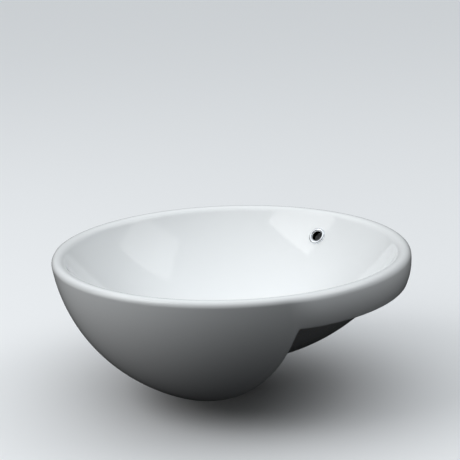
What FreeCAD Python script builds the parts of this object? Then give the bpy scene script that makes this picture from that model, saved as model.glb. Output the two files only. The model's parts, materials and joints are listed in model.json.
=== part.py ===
"""Semi-recessed wash basin with its overflow trim and its push-to-open waste.

Frame: millimetres, +Z up, -Y towards the user.  The origin is where the upright outlet
axis meets the bench top, so the rim stands above Z = 0, the hidden bowl and the waste
hang below it, and the skirt stands in front of the bench's edge.
"""
import FreeCAD
import Part
import Sketcher
import math
import os

# Every driving size, written once, in millimetres except where a note says otherwise.
SIZES = [
    ("rim_radius", 230, "outer radius of the rim, over the rounding of its lip"),
    ("slab_rise", 42, "bench top to the top of the rim"),
    ("band_arc", 50.8, "radius of the rear rim band's upright arc"),
    ("band_arc_rise", 21, "height of that arc's centre above the bench top"),
    ("slab_foot_round", 2.5, "rounding of the rear rim band's lower edge"),
    ("crease_lean", 16, "how far in front of the step the band leaves the skirt, at the lip"),
    ("crease_run", 40, "length round the rim over which the band reaches its full radius"),
    ("bowl_depth", 129, "top of the rim to the bottom of the bowl"),
    ("lip_round", 12, "rounding of the lip on the bowl's side"),
    ("outer_lip_round", 7, "rounding of the lip on the outside"),
    ("bowl_wall", 12, "ceramic thickness of the hidden bowl"),
    ("step_setback", 115, "outlet axis to the upright face against the bench's edge"),
    ("skirt_arc_out", 19.4, "outlet axis to the centre of the front skirt's upright arc"),
    ("skirt_arc_rise", 21, "height of that arc's centre above the rim"),
    ("skirt_wall", 12, "ceramic thickness of the front skirt and of its back wall"),
    ("step_edge_round", 5, "rounding between the skirt and its back face"),
    ("bowl_fillet_radius", 5, "fillet between that face and the hidden bowl"),
    ("vent_radius", 7, "drain hole of the hollow skirt, in its back wall"),
    ("vent_gap", 3, "floor of the hollow skirt, at its back wall, up to that hole"),
    ("outlet_length", 38, "bottom of the bowl to the underside of the outlet boss"),
    ("outlet_radius", 23, "bore of the outlet"),
    ("boss_radius", 41, "outlet boss"),
    ("recess_depth", 3.5, "sunk seat of the waste's flange"),
    ("recess_gap", 1, "clearance round the flange in its sunk seat"),
    ("overflow_drop", 31, "top of the rim to the overflow's centre"),
    ("overflow_hole_radius", 11, "overflow hole in the ceramic"),
    ("overflow_hole_depth", 14, "length of that hole along its own axis"),
    ("channel_skin", 9, "ceramic between the bowl and the overflow channel"),
    ("channel_gap", 10, "depth of the overflow channel across the wall"),
    ("channel_width", 36, "width of the overflow channel"),
    ("channel_pocket", 9.8, "the overflow's centre to the channel's rear wall"),
    ("duct_wall", 8, "ceramic thickness round the channel"),
    ("trim_radius", 12.2, "outer radius of the overflow ring's face"),
    ("trim_bore", 8, "clear radius through the overflow ring"),
    ("trim_collar", 1.5, "wall of the ring's collar"),
    ("trim_collar_length", 11, "how far the collar reaches into the wall"),
    ("trim_stand_off", 0.5, "gap behind the ring's flat back at its centre"),
    ("trim_height", 2.4, "thickness of the ring's face"),
    ("trim_edge", 0.8, "height of the ring's outer edge"),
    ("grip_gap", 0.08, "gap on each side of the overflow ring's rubber sleeve"),
    ("grip_length", 9, "length of that sleeve"),
    ("grip_rib", 0.5, "depth of the grooves round that sleeve"),
    ("grip_bands", 7, "its lands and grooves together, an odd count"),
    ("flange_radius", 32, "flange of the waste"),
    ("flange_height", 3.2, "thickness of that flange"),
    ("flange_edge", 1.2, "rounding of the flange's top edge"),
    ("seat_radius", 25, "flat seat of the plug's seal in the flange"),
    ("seat_drop", 1.5, "flange top down to that seat"),
    ("thread_radius", 20.95, "1 1/4 inch pipe thread of the waste, over its crests"),
    ("thread_gap", 0.05, "radial clearance of the screwed joints"),
    ("waste_bore", 18, "clear radius of the waste's tube"),
    ("gasket_height", 1.5, "rubber ring under the flange"),
    ("slot_width", 9, "overflow slots in the tube"),
    ("slot_height", 15, "height of those slots"),
    ("slot_drop", 9, "bottom of the bowl down to the slots' top"),
    ("washer_spigot", 3.5, "part of the tapered washer inside the outlet"),
    ("washer_height", 4, "part of it below the outlet"),
    ("washer_radius", 31, "outer radius of the washers"),
    ("washer_taper", 1, "radius that the tapered washer loses towards its top"),
    ("spigot_taper", 0.5, "radius that its spigot loses towards its top"),
    ("slip_height", 1.5, "slip washer"),
    ("backnut_height", 7, "backnut"),
    ("backnut_flats", 55, "backnut, across its flats"),
    ("relief_height", 1.2, "thread run-out below the backnut"),
    ("relief_depth", 0.8, "depth of that run-out"),
    ("tail_thread", 10.3, "free thread for the trap's nut"),
    ("tail_chamfer", 1, "chamfer at the tube's end"),
    ("travel", 9, "stroke of the plug between closed and open"),
    ("cap_radius", 30, "domed plug"),
    ("cap_edge", 1.6, "height of the plug's upright edge"),
    ("cap_rise", 5.6, "height of its dome above that edge"),
    ("cap_boss_radius", 7, "boss under the plug"),
    ("cap_boss_length", 6.2, "length of that boss"),
    ("seal_height", 2.5, "rubber seal under the plug"),
    ("seal_width", 5, "its width"),
    ("seal_inset", 0.5, "seal's outer edge inside the seat's edge"),
    ("seal_groove", 0.5, "depth of its groove in the plug"),
    ("seal_bevel", 0.6, "bevel of its lower outer edge"),
    ("stem_radius", 3, "screwed stem"),
    ("stem_length", 22, "its length"),
    ("stem_bite", 7.5, "stem inside the plug's boss"),
    ("jam_height", 2.4, "jam nut under the plug's boss"),
    ("jam_flats", 10, "jam nut, across its flats"),
    ("rod_gap", 1.6, "jam nut down to the plunger's rod"),
    ("rod_radius", 4.9, "rod of the plunger"),
    ("slide_gap", 0.08, "radial running clearance in the cartridge"),
    ("rest_gap", 0.2, "play along the axis between the cartridge's pieces"),
    ("cover_top", 9.7, "flange top down to the cartridge's cover"),
    ("cover_height", 2.5, "cover of the cartridge"),
    ("cover_skirt", 6, "its skirt round the barrel"),
    ("cover_radius", 9, "its outer radius"),
    ("barrel_bore", 5.6, "bore of the barrel"),
    ("barrel_wall", 2, "wall of the barrel"),
    ("barrel_floor", 2.5, "floor of the barrel"),
    ("stud_radius", 4.9, "screwed foot of the barrel"),
    ("stud_length", 13, "its length"),
    ("collar_height", 3, "piston of the plunger"),
    ("spindle_radius", 2.5, "spindle that the cam sleeve turns on"),
    ("spindle_end", 1.1, "spindle below the retaining clip"),
    ("sleeve_height", 13, "cam sleeve"),
    ("track_margin", 2, "end of the sleeve to the track's turning points"),
    ("track_turn", 45, "degrees that the sleeve turns in one stroke"),
    ("pin_radius", 0.9, "track pin"),
    ("pin_gap", 0.15, "clearance of the pin's ball end in the track"),
    ("thrust_height", 0.8, "thrust washer"),
    ("clip_height", 0.6, "retaining clip"),
    ("clip_radius", 3.6, "its outer radius"),
    ("clip_groove", 0.5, "depth of its groove in the spindle"),
    ("clip_mouth", 3.2, "width of its open side"),
    ("spring_length", 18, "return spring with the plug open"),
    ("spring_mean", 4.5, "mean radius of its coils"),
    ("wire_radius", 0.5, "its wire"),
    ("spring_turns", 7, "its turns, a count"),
    ("spider_width", 6, "bar across the waste's tube"),
    ("spider_height", 7, "height of that bar"),
    ("spider_boss", 9, "radius of the boss in its middle"),
    ("locknut_flats", 14, "nut under the bar, across its flats"),
    ("locknut_height", 4, "its height"),
    ("small_chamfer", 0.5, "chamfer of the plug's and the cover's edges"),
]

HEX_POINT_RATIO = 2 / math.sqrt(3)      # a hexagon's width across corners over across flats
FAR = 400                               # mm, longer than any cut has to be
OVERSHOOT = 1                           # mm that a cut runs past the face it opens
NEAR = 0.01                             # mm within which an edge counts as lying on a plane
BLEND_STEP = 2                          # degrees between the sections of the band's run-in
BLEND_SINK = 0.1                        # mm that the run-in starts below the skirt's surface

document = FreeCAD.newDocument("semi_recessed_basin")
sheet = document.addObject("Spreadsheet::Sheet", "sizes")
for row, (alias, value, note) in enumerate(SIZES, start=1):
    sheet.set(f"A{row}", note)
    sheet.set(f"B{row}", str(value))
    sheet.setAlias(f"B{row}", alias)
document.recompute()


class Size:
    """A length that carries its number and the spreadsheet expression that gives it."""

    def __init__(self, number, words):
        self.number = float(number)
        self.words = words

    def __add__(self, other):
        other = as_size(other)
        return Size(self.number + other.number, f"({self.words} + {other.words})")

    def __sub__(self, other):
        other = as_size(other)
        return Size(self.number - other.number, f"({self.words} - {other.words})")

    def __mul__(self, other):
        other = as_size(other)
        return Size(self.number * other.number, f"({self.words} * {other.words})")

    def __truediv__(self, other):
        other = as_size(other)
        return Size(self.number / other.number, f"({self.words} / {other.words})")

    def __neg__(self):
        return Size(-self.number, f"(0 - {self.words})")


def as_size(value):
    """A plain number as a Size."""
    if isinstance(value, Size):
        return value
    return Size(value, f"({float(value)})")


def cell(name):
    """The Size that a cell of the sheet holds."""
    return Size(sheet.get(name), f"sizes.{name}")


def root(size):
    """Square root of a Size."""
    return Size(math.sqrt(size.number), f"sqrt({size.words})")


def other_side(hypotenuse, side):
    """Third side of a right-angled triangle."""
    return root(hypotenuse * hypotenuse - side * side)


def long_side(one, other):
    """Hypotenuse of a right-angled triangle."""
    return root(one * one + other * other)


def bind(thing, **properties):
    """Bind properties, whose dots are written as double underscores, to the sheet."""
    for name, size in properties.items():
        thing.setExpression(name.replace("__", "."), as_size(size).words)
    return thing


def put(thing, x=0, y=0, z=0):
    """Bind an object's place."""
    return bind(thing, Placement__Base__x=x, Placement__Base__y=y, Placement__Base__z=z)


def cylinder(name, radius, height, x=0, y=0, z=0):
    """An upright cylinder that stands on z."""
    thing = document.addObject("Part::Cylinder", name)
    return put(bind(thing, Radius=radius, Height=height), x, y, z)


def box(name, x, y, z):
    """A box between two bounds in each direction."""
    thing = document.addObject("Part::Box", name)
    spans = [as_size(high) - low for low, high in (x, y, z)]
    bind(thing, Length=spans[0], Width=spans[1], Height=spans[2])
    return put(thing, x[0], y[0], z[0])


def ball(name, radius, z):
    """A whole sphere on the outlet axis."""
    return put(bind(document.addObject("Part::Sphere", name), Radius=radius), 0, 0, z)


def hexagon(name, flats, height, z):
    """A hexagonal prism that stands on z."""
    thing = document.addObject("Part::Prism", name)
    thing.Polygon = 6
    return put(bind(thing, Circumradius=flats * (HEX_POINT_RATIO / 2), Height=height), 0, 0, z)


def cut(name, base, tool):
    """What is left of base where tool isn't."""
    thing = document.addObject("Part::Cut", name)
    thing.Base = base
    thing.Tool = tool
    return thing


def common(name, *shapes):
    """Where all the shapes are."""
    thing = document.addObject("Part::MultiCommon", name)
    thing.Shapes = list(shapes)
    return thing


def fuse(name, *shapes):
    """The shapes as one solid."""
    thing = document.addObject("Part::MultiFuse", name)
    thing.Shapes = list(shapes)
    thing.Refine = True
    return thing


def arc_between(start, end, radius, turn):
    """The shorter arc from start to end; turn is 1 counter-clockwise and -1 clockwise."""
    middle = (start + end) / 2
    chord = end - start
    reach = math.sqrt(max(radius * radius - chord.Length ** 2 / 4, 0))
    side = FreeCAD.Vector(-chord.y, chord.x, 0).normalize() * (turn * reach)
    centre = middle + side
    first, last = (start, end) if turn > 0 else (end, start)
    angles = [math.atan2(p.y - centre.y, p.x - centre.x) for p in (first, last)]
    circle = Part.Circle(centre, FreeCAD.Vector(0, 0, 1), radius)
    return Part.ArcOfCircle(circle, angles[0], angles[1])


def draw(sketch, corners):
    """Draw a closed outline in a sketch and bind each corner and radius to the sheet.

    A corner is (across, up) or (across, up, radius, turn), where the last two make the edge
    to the next corner an arc.
    """
    spots = [FreeCAD.Vector(as_size(c[0]).number, as_size(c[1]).number, 0) for c in corners]
    ends = []
    for index, corner in enumerate(corners):
        start, end = spots[index], spots[(index + 1) % len(spots)]
        if len(corner) == 2:
            edge = sketch.addGeometry(Part.LineSegment(start, end), False)
            ends.append((edge, 1, 2))
        else:
            radius, turn = as_size(corner[2]), corner[3]
            arc = arc_between(start, end, radius.number, turn)
            edge = sketch.addGeometry(arc, False)
            ends.append((edge, 1, 2) if turn > 0 else (edge, 2, 1))
            number = sketch.addConstraint(Sketcher.Constraint("Radius", edge, radius.number))
            sketch.setExpression(f"Constraints[{number}]", radius.words)
    for index, corner in enumerate(corners):
        edge, start, _ = ends[index]
        before, _, before_end = ends[index - 1]
        sketch.addConstraint(Sketcher.Constraint("Coincident", before, before_end, edge, start))
        for kind, axis, size in (("DistanceX", -2, corner[0]), ("DistanceY", -1, corner[1])):
            size = as_size(size)
            if size.words == "(0.0)":
                sketch.addConstraint(Sketcher.Constraint("PointOnObject", edge, start, axis))
                continue
            rule = Sketcher.Constraint(kind, -1, 1, edge, start, size.number)
            number = sketch.addConstraint(rule)
            sketch.setExpression(f"Constraints[{number}]", size.words)


def turned(name, corners):
    """A body turned round the upright axis from an outline of (radius, height) corners."""
    body = document.addObject("PartDesign::Body", name)
    sketch = body.newObject("Sketcher::SketchObject", f"{name}_outline")
    plane = [f for f in body.Origin.OriginFeatures if f.Role == "XZ_Plane"][0]
    sketch.AttachmentSupport = [(plane, "")]
    sketch.MapMode = "FlatFace"
    draw(sketch, corners)
    turn = body.newObject("PartDesign::Revolution", f"{name}_turn")
    turn.Profile = sketch
    turn.ReferenceAxis = (sketch, ["V_Axis"])
    turn.Angle = 360
    return body


def swept_round(name, corners, angle=None):
    """Part of a ring, centred on +Y: an outline turned by an angle, or the whole ring."""
    sketch = document.addObject("Sketcher::SketchObject", f"{name}_outline")
    sketch.Placement.Rotation = FreeCAD.Rotation(FreeCAD.Vector(1, 1, 1), 120)
    draw(sketch, corners)
    ring = document.addObject("Part::Revolution", name)
    ring.Source = sketch
    ring.Axis = FreeCAD.Vector(0, 0, 1)
    ring.Solid = True
    ring.Symmetric = True
    ring.Angle = 360
    if angle:
        ring.setExpression("Angle", angle)
    return ring


def tube_corners(inner, outer, low, high):
    """Outline of a plain ring."""
    return [(inner, low), (outer, low), (outer, high), (inner, high)]


# ---------------------------------------------------------------- levels and shared places
rim_top = cell("slab_rise")
bowl_bottom = rim_top - cell("bowl_depth")
depth = cell("bowl_depth")
lip = cell("lip_round")
lip_outside = cell("outer_lip_round")
lip_crest = cell("rim_radius") - lip_outside
bowl_sphere = (lip_crest * lip_crest + depth * (depth - lip * 2)) / (depth * 2)
sphere_centre = bowl_bottom + bowl_sphere
hidden_sphere = bowl_sphere + cell("bowl_wall")
lip_meets_bowl = (
    lip_crest * bowl_sphere / (bowl_sphere + lip),
    sphere_centre - (sphere_centre - rim_top + lip) * bowl_sphere / (bowl_sphere + lip),
)

skirt_centre_out = cell("skirt_arc_out")
skirt_centre_up = rim_top + cell("skirt_arc_rise")
lip_to_skirt = long_side(lip_crest - skirt_centre_out, cell("skirt_arc_rise") + lip_outside)
skirt_arc = lip_to_skirt + lip_outside
skirt_low = skirt_centre_up - skirt_arc
tangent_share = skirt_arc / lip_to_skirt
lip_meets_skirt = (
    skirt_centre_out + (lip_crest - skirt_centre_out) * tangent_share,
    skirt_centre_up - (cell("skirt_arc_rise") + lip_outside) * tangent_share,
)

lip_up = rim_top - lip_outside
band_arc, band_centre_up = cell("band_arc"), cell("band_arc_rise")
band_centre_out = lip_crest - other_side(band_arc - lip_outside, lip_up - band_centre_up)
foot_radius = band_centre_out + other_side(band_arc, band_centre_up - cell("slab_foot_round"))
band_share = band_arc / (band_arc - lip_outside)
lip_meets_band = (
    band_centre_out + (lip_crest - band_centre_out) * band_share,
    band_centre_up + (lip_up - band_centre_up) * band_share,
)
step = -cell("step_setback")
overflow_up = rim_top - cell("overflow_drop")
overflow_out = other_side(bowl_sphere, sphere_centre - overflow_up)
channel_reach = overflow_out + cell("channel_pocket")

outlet_underside = bowl_bottom - cell("outlet_length")
recess_floor = bowl_bottom - cell("recess_depth")
flange_under = recess_floor + cell("gasket_height")
flange_top = flange_under + cell("flange_height")
seal_seat = flange_top - cell("seat_drop")
slip_top = outlet_underside - cell("washer_height")
backnut_top = slip_top - cell("slip_height")
backnut_under = backnut_top - cell("backnut_height")
relief_under = backnut_under - cell("relief_height")
tail_end = relief_under - cell("tail_thread") - cell("tail_chamfer")

plug_under = seal_seat + cell("seal_height") + cell("travel")
boss_under = plug_under - cell("cap_boss_length")
jam_under = boss_under - cell("jam_height")
rod_top = jam_under - cell("rod_gap")
stem_top = boss_under + cell("stem_bite")
stem_end = stem_top - cell("stem_length")
cover_top = flange_top - cell("cover_top")
barrel_top = cover_top - cell("cover_height")
collar_top = barrel_top - cell("rest_gap")
collar_under = collar_top - cell("collar_height")
sleeve_top = collar_under - cell("rest_gap")
sleeve_under = sleeve_top - cell("sleeve_height")
thrust_top = sleeve_under - cell("rest_gap")
thrust_under = thrust_top - cell("thrust_height")
clip_under = thrust_under - cell("clip_height")
spindle_tip = clip_under - cell("spindle_end")
spring_foot = thrust_under - cell("spring_length")
barrel_foot = spring_foot - cell("barrel_floor")
spider_under = barrel_foot - cell("spider_height")
locknut_under = spider_under - cell("locknut_height")
stud_end = barrel_foot - cell("stud_length")
pin_level = sleeve_under + cell("track_margin")


# ---------------------------------------------------------------- ceramic basin
def skirt_outline(inset, top_corners):
    """The front skirt's upright profile, moved inwards by inset, closed on the axis."""
    low = skirt_low + inset
    return [(0, low), (skirt_centre_out, low, skirt_arc - inset, 1)] + top_corners


def round_step_edge(form):
    """Round the edges where the skirt's curved wall meets its upright back face."""
    document.recompute()
    wanted = []
    for number, edge in enumerate(form.Shape.Edges, start=1):
        bounds = edge.BoundBox
        off_step = max(abs(bounds.YMin - step.number), abs(bounds.YMax - step.number))
        if off_step < NEAR and bounds.ZMin < -sheet.step_edge_round:
            wanted.append((number, sheet.step_edge_round))
    rounded = document.addObject("Part::Fillet", "skirt_rounded")
    rounded.Base = form
    rounded.Edges = [(number, radius, radius) for number, radius in wanted]
    return rounded


def on_arc(level, centre_out, centre_up, radius):
    """Radius at which an upright arc stands at a level."""
    rise = level - centre_up.number
    return centre_out.number + math.sqrt(radius.number ** 2 - rise ** 2)


def run_in_section(angle, crease_top, crease_foot, run, levels):
    """One upright section of the band's run-in, at an angle from the front.

    At each level the radius goes from the skirt's to the band's along a curve that leaves
    the skirt at the crease and reaches the band without a bend.  The section's wall is the
    arc through three such points.
    """
    foot_round = sheet.slab_foot_round
    low, top = levels
    points = []
    for share in (0, 0.5, 1):
        level = low + share * (top - low)
        skirt = on_arc(level, skirt_centre_out, skirt_centre_up, skirt_arc)
        if level > lip_meets_skirt[1].number:
            skirt = on_arc(level, lip_crest, lip_up, lip_outside)
        band = on_arc(level, band_centre_out, band_centre_up, band_arc)
        crease = crease_foot + share * (crease_top - crease_foot)
        reached = min(max((angle - crease) / run, 0), 1)
        weight = 1 - (1 - reached) ** 2
        points.append((skirt - BLEND_SINK + weight * (band - skirt + BLEND_SINK), level))
    heading = FreeCAD.Vector(math.sin(math.radians(angle)), -math.cos(math.radians(angle)), 0)

    def spot(radius, level):
        return heading * radius + FreeCAD.Vector(0, 0, level)

    inner = lip_crest.number / 2
    outer = points[0][0]
    slant = foot_round * (1 - math.sqrt(0.5))
    under = [spot(inner, top), spot(inner, 0), spot(outer - foot_round, 0)]
    corner = Part.Arc(under[2], spot(outer - slant, slant), spot(*points[0]))
    wall = Part.Arc(*[spot(*point) for point in points])
    edges = [Part.LineSegment(under[0], under[1]), Part.LineSegment(under[1], under[2])]
    edges += [corner, wall, Part.LineSegment(spot(*points[2]), under[0])]
    return Part.Wire([edge.toShape() for edge in edges])


def make_run_in(crease_top, crease_foot, run):
    """The two stretches in which the rear band grows out of the front skirt."""
    levels = (sheet.slab_foot_round, lip_meets_band[1].number)
    end = crease_foot + run
    count = math.ceil((end - crease_top) / BLEND_STEP)
    angles = [crease_top + (end - crease_top) * step / count for step in range(count + 1)]
    sections = [run_in_section(a, crease_top, crease_foot, run, levels) for a in angles]
    right = Part.makeLoft(sections, True, True)
    left = right.mirror(FreeCAD.Vector(), FreeCAD.Vector(1, 0, 0))
    pieces = []
    for name, shape in (("run_in_right", right), ("run_in_left", left)):
        piece = document.addObject("Part::Feature", name)
        piece.Shape = shape
        pieces.append(piece)
    return pieces


def make_bowl_fillet():
    """The fillet where the skirt's back face meets the hidden bowl.

    That corner is a circle round the level axis, square to the face, through the bowl's
    centre, so the fillet is an outline turned round it: an arc that touches both, closed
    inside the ceramic.
    """
    fillet, sink = cell("bowl_fillet_radius"), cell("skirt_wall") / 2
    arc_y = step + fillet
    arc_down = other_side(hidden_sphere + fillet, arc_y)
    share = hidden_sphere / (hidden_sphere + fillet)
    inside = sphere_centre - arc_down * share + sink
    sketch = document.addObject("Sketcher::SketchObject", "bowl_fillet_outline")
    sketch.Placement.Rotation = FreeCAD.Rotation(FreeCAD.Vector(1, 1, 1), 120)
    draw(sketch, [
        (step, sphere_centre - arc_down, fillet, -1),
        (arc_y * share, sphere_centre - arc_down * share),
        (arc_y * share, inside),
        (step - sink, inside),
        (step - sink, sphere_centre - arc_down),
    ])
    ring = document.addObject("Part::Revolution", "bowl_fillet_ring")
    ring.Source = sketch
    ring.Axis = FreeCAD.Vector(0, 1, 0)
    ring.Solid = True
    bind(ring, Base__z=sphere_centre, Angle=360)
    return common("bowl_fillet", ring,
                  box("fillet_space", (-FAR, FAR), (-FAR, 0), (-FAR, 0)))


def make_basin():
    """The ceramic: rim, rear band, front skirt, hidden bowl, outlet boss and overflow duct."""
    whole_skirt = swept_round("skirt_outside", skirt_outline(as_size(0), [
        (lip_meets_skirt[0], lip_meets_skirt[1], lip_outside, 1),
        (lip_crest, rim_top),
        (0, rim_top),
    ]))
    rim_disc = common("rim_disc", whole_skirt,
                      box("above_bench", (-FAR, FAR), (-FAR, FAR), (0, rim_top)))
    front = common("front_form", whole_skirt,
                   box("front_space", (-FAR, FAR), (-FAR, step), (-FAR, 0)))
    front = round_step_edge(front)

    foot, band_inside = cell("slab_foot_round"), lip_crest / 2
    lean, setback = sheet.crease_lean, sheet.step_setback
    crease_top = math.degrees(math.acos((setback + lean) / sheet.rim_radius))
    crease_foot = math.degrees(math.acos(setback / foot_radius.number))
    run = math.degrees(sheet.crease_run / sheet.rim_radius)
    run_ins = make_run_in(crease_top, crease_foot, run)
    crease = f"acos({(cell('step_setback') / foot_radius).words})"
    turn = f"{(cell('crease_run') / cell('rim_radius')).words} * 180 deg / pi"
    band_angle = f"360 deg - 2 * ({crease} + {turn})"
    band = swept_round("rear_band", [
        (band_inside, 0),
        (foot_radius - foot, 0, foot, 1),
        (foot_radius, foot, band_arc, 1),
        (lip_meets_band[0], lip_meets_band[1], lip_outside, 1),
        (lip_crest, rim_top),
        (band_inside, rim_top),
    ], band_angle)

    shell = common("bowl_back", ball("bowl_outside", hidden_sphere, sphere_centre),
                   box("below_rim", (-FAR, FAR), (step, FAR), (-FAR, 0)))
    boss = cylinder("outlet_boss", cell("boss_radius"),
                    bowl_bottom - outlet_underside, z=outlet_underside)
    channel_outside = bowl_sphere + cell("channel_skin") + cell("channel_gap")
    half_duct = cell("channel_width") / 2 + cell("duct_wall")
    duct = common(
        "duct_form",
        ball("duct_outside", channel_outside + cell("duct_wall"), sphere_centre),
        box("duct_space", (-half_duct, half_duct),
            (0, channel_reach + cell("duct_wall")), (-FAR, 0)))
    solid = fuse("basin_solid", rim_disc, band, *run_ins, front, shell, make_bowl_fillet(),
                 boss, duct)

    bowl = swept_round("bowl_inside", [
        (0, bowl_bottom, bowl_sphere, 1),
        (lip_meets_bowl[0], lip_meets_bowl[1], lip, -1),
        (lip_crest, rim_top),
        (lip_crest, rim_top + OVERSHOOT),
        (0, rim_top + OVERSHOOT),
    ])
    recess = cylinder("flange_recess", cell("flange_radius") + cell("recess_gap"),
                      cell("bowl_depth"), z=recess_floor)
    bore = cylinder("outlet_bore", cell("outlet_radius"), cell("bowl_depth"),
                    z=outlet_underside - OVERSHOOT)
    hole = set_in_wall(cylinder("overflow_hole", cell("overflow_hole_radius"),
                                cell("overflow_hole_depth") * 2),
                       -cell("overflow_hole_depth"))
    half_channel = cell("channel_width") / 2
    channel = cut(
        "overflow_channel",
        common("channel_form", ball("channel_far", channel_outside, sphere_centre),
               box("channel_space", (-half_channel, half_channel),
                   (0, channel_reach), (-FAR, rim_top))),
        ball("channel_near", bowl_sphere + cell("channel_skin"), sphere_centre))

    wall = cell("skirt_wall")
    hollow_arc = skirt_arc - wall
    hollow_floor = skirt_centre_up - other_side(hollow_arc, wall - step - skirt_centre_out)
    skirt_inside = swept_round("skirt_inside", skirt_outline(wall, [
        (skirt_centre_out + hollow_arc, skirt_centre_up),
        (0, skirt_centre_up),
    ]))
    hollow = cut("skirt_hollow",
                 common("hollow_form", skirt_inside,
                        box("hollow_space", (-FAR, FAR), (-FAR, step - wall), (-FAR, 0))),
                 ball("bowl_outside_again", hidden_sphere, sphere_centre))
    vent = put(bind(document.addObject("Part::Cylinder", "vent_hole"),
                    Radius=cell("vent_radius"), Height=wall * 2),
               0, step + OVERSHOOT, hollow_floor + cell("vent_gap") + cell("vent_radius"))
    vent.Placement.Rotation = FreeCAD.Rotation(FreeCAD.Vector(1, 0, 0), 90)
    spaces = fuse("basin_spaces", bowl, recess, bore, hole, channel, hollow, vent)
    spaces.Refine = False
    return cut("basin", solid, spaces)


# ---------------------------------------------------------------- overflow trim
def set_in_wall(thing, along=0):
    """Set a piece on the overflow's own axis, whose +Z points into the bowl."""
    rise, share = sphere_centre - overflow_up, as_size(along) / bowl_sphere
    put(thing, 0, overflow_out - overflow_out * share, overflow_up + rise * share)
    thing.Placement.Rotation.Axis = FreeCAD.Vector(1, 0, 0)
    thing.setExpression("Placement.Rotation.Angle", f"acos({(rise / bowl_sphere).words})")
    return thing


def make_overflow_trim():
    """The ring on the wall of the bowl and the rubber sleeve that grips the hole."""
    bore, back = cell("trim_bore"), cell("trim_stand_off")
    collar = bore + cell("trim_collar")
    edge, height = cell("trim_edge"), cell("trim_height")
    half_face = (cell("trim_radius") - bore) / 2
    crown = (half_face * half_face + (height - edge) * (height - edge)) / ((height - edge) * 2)
    ring = set_in_wall(turned("overflow_ring", [
        (bore, back - cell("trim_collar_length")),
        (collar, back - cell("trim_collar_length")),
        (collar, back),
        (cell("trim_radius"), back),
        (cell("trim_radius"), back + edge, crown, 1),
        (bore + half_face, back + height, crown, 1),
        (bore, back + edge),
    ]))

    gap, rib, length = cell("grip_gap"), cell("grip_rib"), cell("grip_length")
    outer = cell("overflow_hole_radius") - gap
    low = back - cell("trim_collar_length")
    bands = round(sheet.grip_bands)
    corners = [(collar + gap, low), (outer, low)]
    for count in range(1, bands):
        near, far = (outer, outer - rib) if count % 2 else (outer - rib, outer)
        level = low + length / bands * count
        corners += [(near, level), (far, level)]
    corners += [(outer, low + length), (collar + gap, low + length)]
    grip = set_in_wall(turned("overflow_grip", corners))
    return [ring, grip]


# ---------------------------------------------------------------- waste fitting
def make_waste_body():
    """Flange, tube, overflow slots and the bar that carries the cartridge."""
    thread, bore = cell("thread_radius"), cell("waste_bore")
    flange, seat = cell("flange_radius"), cell("seat_radius")
    edge, drop = cell("flange_edge"), cell("seat_drop")
    relief = thread - cell("relief_depth")
    chamfer = cell("tail_chamfer")
    form = turned("waste_form", [
        (bore, tail_end),
        (thread - chamfer, tail_end),
        (thread, tail_end + chamfer),
        (thread, relief_under),
        (relief, relief_under),
        (relief, backnut_under),
        (thread, backnut_under),
        (thread, flange_under),
        (flange, flange_under),
        (flange, flange_top - edge, edge, 1),
        (flange - edge, flange_top),
        (seat + drop, flange_top),
        (seat, seal_seat),
        (bore + drop, seal_seat),
        (bore, seal_seat - drop * 2),
    ])
    half_slot = cell("slot_width") / 2
    slot_top = bowl_bottom - cell("slot_drop")
    slots = box("waste_slots", (-half_slot, half_slot), (-FAR, FAR),
                (slot_top - cell("slot_height"), slot_top))
    half_bar = cell("spider_width") / 2
    bar_end = bore + OVERSHOOT
    bar = box("spider_bar", (-bar_end, bar_end), (-half_bar, half_bar),
              (spider_under, barrel_foot))
    boss = cylinder("spider_boss", cell("spider_boss"), cell("spider_height"), z=spider_under)
    hole = cylinder("spider_hole", cell("stud_radius") + cell("thread_gap"),
                    cell("spider_height") * 3, z=spider_under - cell("spider_height"))
    tube = cut("waste_tube", form, slots)
    return cut("waste_body", fuse("waste_whole", tube, bar, boss), hole)


def nut(name, flats, height, under, bore):
    """A hexagonal nut with turned corners, under its seat."""
    corner, flat = flats * (HEX_POINT_RATIO / 2), flats / 2
    bevel = (corner - flat) / 2
    blank = hexagon(f"{name}_blank", flats, height, under)
    corners = turned(f"{name}_corners", [
        (bore, under),
        (flat, under),
        (corner, under + bevel),
        (corner, under + height - bevel),
        (flat, under + height),
        (bore, under + height),
    ])
    return common(name, blank, corners)


def make_waste_joints():
    """The rubber rings, washers and nut that clamp the waste to the ceramic."""
    thread = cell("thread_radius") + cell("thread_gap")
    outer = cell("washer_radius")
    gasket = turned("flange_gasket",
                    tube_corners(thread, cell("flange_radius"), recess_floor, flange_under))
    spigot = cell("outlet_radius") - cell("thread_gap") * 2
    washer = turned("tapered_washer", [
        (thread, slip_top),
        (outer, slip_top),
        (outer - cell("washer_taper"), outlet_underside),
        (spigot, outlet_underside),
        (spigot - cell("spigot_taper"), outlet_underside + cell("washer_spigot")),
        (thread, outlet_underside + cell("washer_spigot")),
    ])
    slip = turned("slip_washer", tube_corners(thread, outer, backnut_top, slip_top))
    backnut = nut("backnut", cell("backnut_flats"), cell("backnut_height"), backnut_under, thread)
    return [gasket, washer, slip, backnut]


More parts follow.
